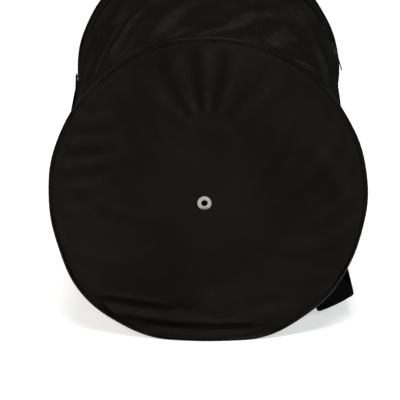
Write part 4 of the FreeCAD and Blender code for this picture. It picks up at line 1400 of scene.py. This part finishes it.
@dataclass
class RimTape:
    """Woven tape folded over an inner seam, with its row of stitches."""

    label: str
    node: str
    body: Body
    wall: Wall
    shift: float
    direction: float
    lift: Lift
    depth: float = 10.8 * MM
    width: float = 10.0 * MM
    thickness: float = 0.7 * MM

    def build(self, sewing: Sewing) -> None:
        """Build the tape and its stitches."""
        rows, columns = 240, 7
        angle = round_trip(rows)
        across = np.linspace(0.0, 1.0, columns)
        length = self.wall.length()
        place = (self.shift + self.direction * across * self.width) / length
        angles, shares = lattice(angle, place)
        bulge = 0.35 * MM * np.sin(math.pi * across)[None, :] + 0.12 * MM * np.sin(np.radians(angles) * 90.0)
        lift = self.lift(angles, shares)
        outer = self.wall.points(angles, shares, self.depth, lift)
        inner = self.wall.points(angles, shares, self.depth + self.thickness + bulge, lift)
        chart = wrap_map(0.175, rows, across * self.width)
        tape = layer_piece(self.label, outer, inner, True, BINDING_TAPE, chart)
        settle(tape, self.body, Slot.BINDING, self.node)
        line = self.shift + self.direction * 0.72 * self.width
        stitches = sewing.ring(f"{self.label}_stitches", self.wall, line, self.lift,
                               self.depth + self.thickness + 0.4 * MM, 0.0, 400)
        settle(stitches, self.body, Slot.BINDING)


@dataclass
class LidBand:
    """The lid's side: a band of nylon with its lining."""

    wall: Wall = field(default_factory=lambda: Wall(LID_MOUTH, LID_RIM))
    dish: float = 2.6
    gather: float = 0.5
    broad_folds: tuple[float, float, int] = (64.0, 0.9, 21)
    small_folds: tuple[float, float, int] = (24.0, 0.3, 22)

    def lift(self, angle: np.ndarray, share: np.ndarray) -> np.ndarray:
        """How far the band stands out from its plain shape."""
        across = np.radians(angle) * WALL_RADIUS
        along = share * self.wall.length() / MM
        held = np.clip(np.minimum(share / 0.12, (1.0 - share) / 0.12), 0.0, 1.0)
        upper = np.clip((np.sin(np.radians(angle)) + 0.8) / 0.5, 0.0, 1.0)
        dish = -self.dish * np.sin(math.pi * share) * upper
        waves = undulate(across, along * 1.5, *self.broad_folds) + undulate(across, along, *self.small_folds)
        pucker = np.sin(across / 3.0 + 1.9 * np.sin(across / 27.0)) * np.exp(-(1.0 - share) * 47.0 / 9.0)
        gather = self.gather * pucker * np.clip((1.0 - share) / 0.05, 0.0, 1.0)
        return (dish + waves * held * upper + gather * upper) * MM

    def ring(self, rows: int, columns: int, depth: float, start: float, end: float) -> tuple:
        """A grid over the band.

        Args:
            rows: Places round the band.
            columns: Places across it.
            depth: Depth of the layer's face.
            start: First place from the zipper side.
            end: Last place.

        Returns:
            The places and their cloth map.
        """
        angle = round_trip(rows)
        share = np.linspace(start, end, columns) / self.wall.length()
        angles, shares = lattice(angle, share)
        points = self.wall.points(angles, shares, depth, self.lift(angles, shares))
        return points, wrap_map(WALL_RADIUS * MM, rows, share * self.wall.length())

    def build(self, sewing: Sewing) -> None:
        """Build the band, its lining and its stitches."""
        length = self.wall.length()
        outer, chart = self.ring(300, 26, 0.0, 0.0, length - 2.5 * MM)
        inner, _ = self.ring(300, 26, 1.0 * MM, 0.0, length - 2.5 * MM)
        band = layer_piece("lid_band_cover", outer, inner, True, OUTER_NYLON, chart)
        settle(band, Body.LID, Slot.NYLON, "lid_band")
        outer, chart = self.ring(200, 18, 1.5 * MM, 9.6 * MM, length - 8.2 * MM)
        inner, _ = self.ring(200, 18, 2.2 * MM, 9.6 * MM, length - 8.2 * MM)
        lining = layer_piece("lid_band_inside", outer, inner, True, LINING_CLOTH, chart)
        settle(lining, Body.LID, Slot.LINING, "lid_band_lining")
        edge = sewing.ring("lid_edge_stitches", self.wall, EDGE_MARGIN, self.lift)
        settle(edge, Body.LID, Slot.NYLON)


def mouth_places(angle: np.ndarray, radius: object, y: np.ndarray) -> np.ndarray:
    """Places round the mouth's axis, at angles in radians, a radius and a distance along it."""
    return np.stack([AXIS_X + radius * np.cos(angle), y, MOUTH_HEIGHT + radius * np.sin(angle)], -1)


@dataclass
class Zipper:
    """Both zipper tapes with their coils, and the slider, puller and stops in their enamel."""

    middle: float = 152.7754 * MM
    tape_outer: float = 179.9 * MM
    tape_thickness: float = 0.8 * MM
    start: float = 112.0
    span: float = 276.0
    tape_start: float = 3.9 * MM
    tape_end: float = 20.3 * MM
    pitch: float = 2.3 * MM

    def arc(self, radius: float, y: float, trim: float = 0.0, count: int = 360) -> np.ndarray:
        """Places along an arc round the mouth."""
        angle = np.radians(np.linspace(self.start + trim, self.start + self.span - trim, count))
        return mouth_places(angle, radius, np.full(count, y))

    def tape(self, name: str, side: float, body: Body, node: str) -> bpy.types.Object:
        """Build one woven tape, ribbed along its edges.

        Args:
            name: The piece's name.
            side: -1 towards the bag and 1 towards the lid.
            body: The body it rides on.
            node: The CAD node it stands for.

        Returns:
            The tape.
        """
        across = np.linspace(self.tape_start - 2.0 * MM, self.tape_end, 12)
        ribs = 0.12 * MM * np.sin(across / MM * 1.9)
        outer, inner = (
            np.stack([self.arc(self.tape_outer + shift, self.middle + side * place)
                      for shift, place in zip(shifts, across)], 1)
            for shifts in (ribs, np.full(across.shape, -self.tape_thickness)))
        along = np.linspace(0.0, self.tape_outer * math.radians(self.span), outer.shape[0])
        chart = np.stack(lattice(along, across), -1)
        piece = layer_piece(name, outer, inner, False, ZIP_TAPE, chart)
        settle(piece, body, Slot.ZIP_TAPE, node)
        return piece

    def build(self) -> None:
        """Build the tapes and coils and finish the metal parts."""
        tree = coil_tree()
        radius = self.tape_outer - self.tape_thickness / 2.0
        rows = ((-1.0, Body.BAG, "bag", "body", 0.0), (1.0, Body.LID, "lid", "lid", self.pitch / 2.0))
        for side, body, label, node, phase in rows:
            self.tape(f"zip_tape_{label}_side", side, body, f"zip_tape_{node}")
            trim = 1.4 + math.degrees(phase / radius)
            line = self.arc(radius, self.middle + side * 1.55 * MM, trim, 700)
            coil = run_nodes(f"zip_coil_{label}_side", tree, [line], False, {
                "Pitch": self.pitch, "Width": 4.4 * MM, "Thickness": 2.3 * MM, "Wire": 0.42 * MM,
                "Material": COIL_NYLON.material()})
            settle(coil, body, Slot.ZIP_TEETH, f"zip_teeth_{node}")
        for name in ("slider", "puller", "zip_stops"):
            dress(name, ZIP_ENAMEL)


def dress(name: str, finish: object) -> None:
    """Give a CAD node that stays its finish."""
    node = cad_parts[name]
    node.data.materials.clear()
    node.data.materials.append(finish.material())
    log.info("%-22s kept from the frame", name)


@dataclass
class HingeStrip:
    """The doubled nylon that joins lid and tube, sewn to both."""

    start: float = 28.9
    end: float = 111.1
    radius: float = 180.0 * MM
    near: float = 137.5 * MM
    far: float = 168.0 * MM

    def build(self, sewing: Sewing) -> None:
        """Build the strip and its stitches, which ride on the bag and on the lid."""
        angles = np.linspace(self.start, self.end, 90)
        across = np.linspace(self.near, self.far, 26)
        angle, place = lattice(np.radians(angles), across)
        share = (place - self.near) / (self.far - self.near)
        ruck = 0.5 * MM * np.sin(angle * 46.0 + 2.0 * np.sin(angle * 9.0)) * np.sin(math.pi * share)
        faces = []
        for depth in (0.0, 1.2 * MM):
            reach = self.radius - depth + ruck - 1.2 * MM * np.sin(math.pi * share)
            faces.append(mouth_places(angle, reach, place))
        chart = np.stack([angle * self.radius, place], -1)
        strip = layer_piece("hinge_strip_cloth", faces[0], faces[1], False, OUTER_NYLON, chart)
        blend_at_hinge(strip)
        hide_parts("hinge_strip")
        report(strip, "bag to lid")
        lines = {Body.BAG: 144.3 * MM, Body.LID: 161.2 * MM}
        for body, y in lines.items():
            turn = np.radians(angles)
            reach = self.radius + 0.25 * MM
            line = mouth_places(turn, reach, np.full(turn.shape, y))
            settle(sewing.row(f"hinge_stitches_{body.value}", [line]), body, Slot.NYLON)


def blend_at_hinge(piece: bpy.types.Object) -> None:
    """Bake a piece's transform into its mesh."""
    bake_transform(piece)


@dataclass
class Strap:
    """A webbing strap, sewn down at both ends and slack between them."""

    label: str
    node: str
    stations: tuple[tuple[float, ...], ...]
    box_near: tuple[float, float]
    box_far: tuple[float, float]
    width: float = 50.0 * MM
    thickness: float = 2.4 * MM
    cup: float = 0.9 * MM
    steps: int = 220

    def spine(self) -> tuple[np.ndarray, np.ndarray, np.ndarray]:
        """Smooth middle line of the strap, its sideways and its outward direction."""
        given = np.array(self.stations, float)
        centres, angles, tilts = given[:, :3] * MM, given[:, 3], given[:, 4]
        gaps = np.concatenate([[0.0], np.cumsum(np.linalg.norm(np.diff(centres, axis=0), axis=1))])
        even = np.linspace(0.0, gaps[-1], self.steps)
        rows = []
        for column in (*centres.T, angles, tilts):
            rough = np.interp(even, gaps, column)
            for _ in range(3):
                padded = np.concatenate([np.full(2, rough[0]), rough, np.full(2, rough[-1])])
                rough = np.convolve(padded, np.ones(5) / 5.0, "valid")
                rough[0], rough[-1] = column[0], column[-1]
            rows.append(rough)
        line = np.stack(rows[:3], -1)
        run = unit(np.gradient(line, axis=0))
        turn = np.radians(rows[3])
        side = np.stack([-np.sin(turn), np.zeros(len(turn)), np.cos(turn)], -1)
        side[:, 1] = np.tan(np.radians(rows[4]))
        side = unit(side - (side * run).sum(1)[:, None] * run)
        out = np.cross(side, run)
        outward = np.stack([np.cos(turn), np.zeros(len(turn)), np.sin(turn)], -1)
        out *= np.where((out * outward).sum(1) < 0.0, -1.0, 1.0)[:, None]
        return line, side, out

    def place(self, index: np.ndarray, across: np.ndarray, above: float) -> np.ndarray:
        """Places on the strap, by step along it, distance across it and height above its outside."""
        line, side, out = self.spine()
        base = [np.interp(index, np.arange(self.steps), table[:, axis])
                for table in (line, side, out) for axis in range(3)]
        middle, beside, up = (np.stack(base[start:start + 3], -1) for start in (0, 3, 6))
        return middle + beside * across[..., None] + up * (self.thickness / 2.0 + above)

    def build(self, sewing: Sewing) -> None:
        """Build the strap and the boxed crosses that hold its ends."""
        line, side, out = self.spine()
        across = np.linspace(-0.5, 0.5, 25)
        rib = 0.16 * MM * np.cos(across * self.width / MM * math.tau / 5.2)
        edge = np.clip((0.5 - np.abs(across)) / 0.05, 0.0, 1.0) ** 0.5
        half = self.thickness / 2.0 * (0.35 + 0.65 * edge) + rib * edge
        cup = self.cup * (np.abs(across) * 2.0) ** 2 * np.sin(np.linspace(0.0, math.pi, self.steps))[:, None]
        middle = line[:, None, :] + side[:, None, :] * (across * self.width)[None, :, None]
        middle = middle - out[:, None, :] * cup[..., None]
        outer = middle + out[:, None, :] * half[None, :, None]
        inner = middle - out[:, None, :] * half[None, :, None]
        length = np.concatenate([[0.0], np.cumsum(np.linalg.norm(np.diff(line, axis=0), axis=1))])
        chart = np.stack(lattice(length, across * self.width), -1)
        crest = np.broadcast_to((np.abs(across) > 0.47) * 0.8, (self.steps, len(across)))
        webbing = layer_piece(self.label, outer, inner, False, WEBBING, chart, crest)
        settle(webbing, Body.BAG, Slot.WEBBING, self.node)
        log.info("%-22s %.3f m of webbing", self.label, length[-1])
        rows = []
        for low, high in (self.box_near, self.box_far):
            start, stop = (np.interp(place, length, np.arange(self.steps)) for place in (low, high))
            reach = self.width / 2.0 - 4.0 * MM
            corners = [(start, -reach), (start, reach), (stop, reach), (stop, -reach), (start, -reach),
                       (stop, reach), (stop, -reach), (start, reach)]
            for (here, beside), (there, beyond) in zip(corners, corners[1:]):
                share = np.linspace(0.0, 1.0, 16)
                rows.append(self.place(
                    here + (there - here) * share, beside + (beyond - beside) * share, 0.25 * MM))
        settle(sewing.row(f"{self.label}_stitches", rows, thread=0.4 * MM), Body.BAG, Slot.WEBBING)


def strap_stations(tube: TubeWall, angle: float,
                   path: tuple[tuple[float, float, float, float], ...]) -> tuple:
    """Turn a strap's path over the tube into places.

    Args:
        tube: The wall that the strap is sewn to.
        angle: Degrees round the wall of its sewn ends.
        path: Rows of distance along the wall, height above it, turn round the wall and twist.

    Returns:
        Rows of place, outward angle and tilt, for a Strap.
    """
    rows = []
    for along, height, turn, tilt in path:
        here = np.array([angle + turn])
        share = np.array([along * MM / tube.reach()])
        lift = tube.lift(here, share) if height < 6.0 else np.zeros(1)
        x, y, z = tube.wall.points(here, share, 0.0, lift + (height + 1.4) * MM)[0] / MM
        rows.append((x, y, z, angle + turn + tilt, 0.0))
    return tuple(rows)


# ------------------------------------------------------------------ studio


@dataclass
class Lamp:
    """A soft rectangular light."""

    name: str
    place: tuple[float, float, float]
    aim: tuple[float, float, float]
    width: float
    depth: float
    power: float
    colour: Colour

    def build(self) -> None:
        """Hang the lamp and turn it to what it lights."""
        light = bpy.data.lights.new(self.name, "AREA")
        light.shape, light.size, light.size_y = "RECTANGLE", self.width, self.depth
        light.energy, light.color = self.power, self.colour
        lamp = bpy.data.objects.new(self.name, light)
        lamp.location = self.place
        lamp.rotation_euler = (Vector(self.aim) - Vector(self.place)).to_track_quat("-Z", "Y").to_euler()
        bpy.context.scene.collection.objects.link(lamp)


LAMPS = (
    Lamp("overhead", (0.1, -0.5, 2.2), (0.0, 0.0, 0.15), 1.2, 0.9, 30.0, (1.0, 1.0, 1.0)),
    Lamp("left_front", (-1.9, -1.5, 1.9), (0.0, -0.1, 0.15), 0.8, 1.0, 34.0, (1.0, 0.97, 0.91)),
    Lamp("right_front", (2.1, -0.9, 1.5), (0.0, -0.1, 0.15), 0.7, 0.9, 16.0, (0.90, 0.94, 1.0)),
    Lamp("front", (0.3, -2.8, 1.1), (0.0, -0.1, 0.15), 1.2, 0.9, 9.0, (1.0, 0.98, 0.94)),
)


@dataclass
class Studio:
    """Pale floor, soft lights and the camera."""

    focus: tuple[float, float, float] = NEAR_RIM.centre
    elevation: float = 26.0
    distance: float = 1.590
    lens_reach: float = 1338.0
    frame_width: float = 400.0
    offset: tuple[float, float] = (7.8, 3.8)
    floor_half: float = 14.0
    sensor: float = 36.0
    dim: float = 0.12

    def floor(self) -> None:
        """Lay the floor."""
        half = self.floor_half
        corners = [(-half, -half, 0.0), (half, -half, 0.0), (half, half, 0.0), (-half, half, 0.0)]
        mesh = bpy.data.meshes.new("studio_floor")
        mesh.from_pydata(corners, [], [(0, 1, 2, 3)])
        material, graph, shader = new_finish("StudioFloor")
        graph.fill(shader, {
            "Base Color": (0.93, 0.93, 0.93, 1.0), "Roughness": 0.9, "Specular IOR Level": 0.1,
            "Emission Color": (1.0, 1.0, 1.0, 1.0), "Emission Strength": 0.5})
        mesh.materials.append(material)
        floor = bpy.data.objects.new("studio_floor", mesh)
        bpy.context.scene.collection.objects.link(floor)

    def lights(self) -> None:
        """Set the soft lights and the pale surroundings."""
        world = bpy.data.worlds.new("Studio")
        bpy.context.scene.world = world
        world.use_nodes = True
        graph = Graph(world.node_tree)
        seen = graph.add("ShaderNodeLightPath").outputs["Is Camera Ray"]
        graph.fill(world.node_tree.nodes["Background"].inputs, {
            "Color": (1.0, 1.0, 1.0, 1.0), "Strength": graph.stretch(seen, 0.0, 1.0, self.dim, 1.0)})
        for lamp in LAMPS:
            lamp.build()

    def camera(self) -> None:
        """Place the camera so that the rim's middle falls where it should."""
        rise = math.radians(self.elevation)
        back = Vector((0.0, -math.cos(rise), math.sin(rise)))
        pitch = rise + math.atan(self.offset[1] / self.lens_reach)
        yaw = math.atan(self.offset[0] / self.lens_reach / math.cos(pitch))
        look = Vector((-math.sin(yaw) * math.cos(pitch), math.cos(yaw) * math.cos(pitch), -math.sin(pitch)))
        data = bpy.data.cameras.new("camera")
        data.sensor_width = self.sensor
        data.lens = self.sensor * self.lens_reach / self.frame_width
        camera = bpy.data.objects.new("camera", data)
        camera.location = Vector(self.focus) + back * self.distance
        camera.rotation_mode = "QUATERNION"
        camera.rotation_quaternion = look.to_track_quat("-Z", "Y")
        bpy.context.scene.collection.objects.link(camera)
        bpy.context.scene.camera = camera

    def build(self) -> None:
        """Build the whole studio."""
        self.camera()
        self.floor()
        self.lights()
        bpy.context.scene.view_settings.view_transform = "Standard"


def build_straps(tube: TubeWall, sewing: Sewing) -> None:
    """Build the slack strap on the right and the flat one on the left."""
    slack = strap_stations(tube, -42.0, (
        (10.0, 0.4, 0.0, 0.0), (20.0, 0.4, 0.0, 0.0), (26.0, 4.0, 0.0, 0.0), (34.0, 18.0, -1.0, -6.0),
        (40.0, 33.0, -2.4, -12.0), (47.0, 41.0, -3.4, -15.0), (62.0, 43.0, -3.6, -15.7),
        (92.0, 41.0, -3.4, -14.0), (130.0, 28.0, -1.6, -8.0), (190.0, 13.0, 0.0, -3.0),
        (250.0, 4.0, 0.0, 0.0), (272.0, 0.5, 0.0, 0.0), (312.0, 0.4, 0.0, 0.0)))
    Strap("strap_right_webbing", "strap_right", slack, box_near=(3.0 * MM, 16.0 * MM),
          box_far=(0.292, 0.322), cup=3.5 * MM).build(sewing)
    flat = strap_stations(tube, 180.0, (
        (9.0, -0.4, 0.0, 0.0), (46.0, -0.3, 0.0, 0.0), (70.0, 0.4, 0.0, 0.0), (130.0, 1.0, 0.0, 0.0),
        (200.0, 0.9, 0.0, 0.0), (250.0, 0.6, 0.0, 0.0), (272.0, 0.4, 0.0, 0.0), (312.0, 0.4, 0.0, 0.0)))
    Strap("strap_left_webbing", "strap_left", flat, box_near=(3.0 * MM, 36.0 * MM),
          box_far=(0.268, 0.300)).build(sewing)


def main() -> None:
    """Build the studio, then the bag piece by piece."""
    logging.basicConfig(level=logging.INFO, format="%(message)s")
    Studio().build()
    sewing = Sewing()
    tube = TubeWall()
    tube.build(sewing)
    bottom_end().build()
    lid_end().build()
    for name in ("eyelet", "eyelet_washer"):
        dress(name, EYELET_PLATE)
    band = LidBand()
    band.build(sewing)
    Zipper().build()
    HingeStrip().build(sewing)
    build_straps(tube, sewing)
    RimTape("bottom_seam_tape", "bottom_binding", Body.BAG, Wall(NEAR_RIM, MOUTH), 8.6 * MM, 1.0,
            tube.lift).build(sewing)
    RimTape("lid_seam_tape", "lid_binding", Body.LID, Wall(LID_MOUTH, LID_RIM), 38.8 * MM, -1.0,
            band.lift, depth=2.6 * MM).build(sewing)


if __name__ == "__main__":
    main()
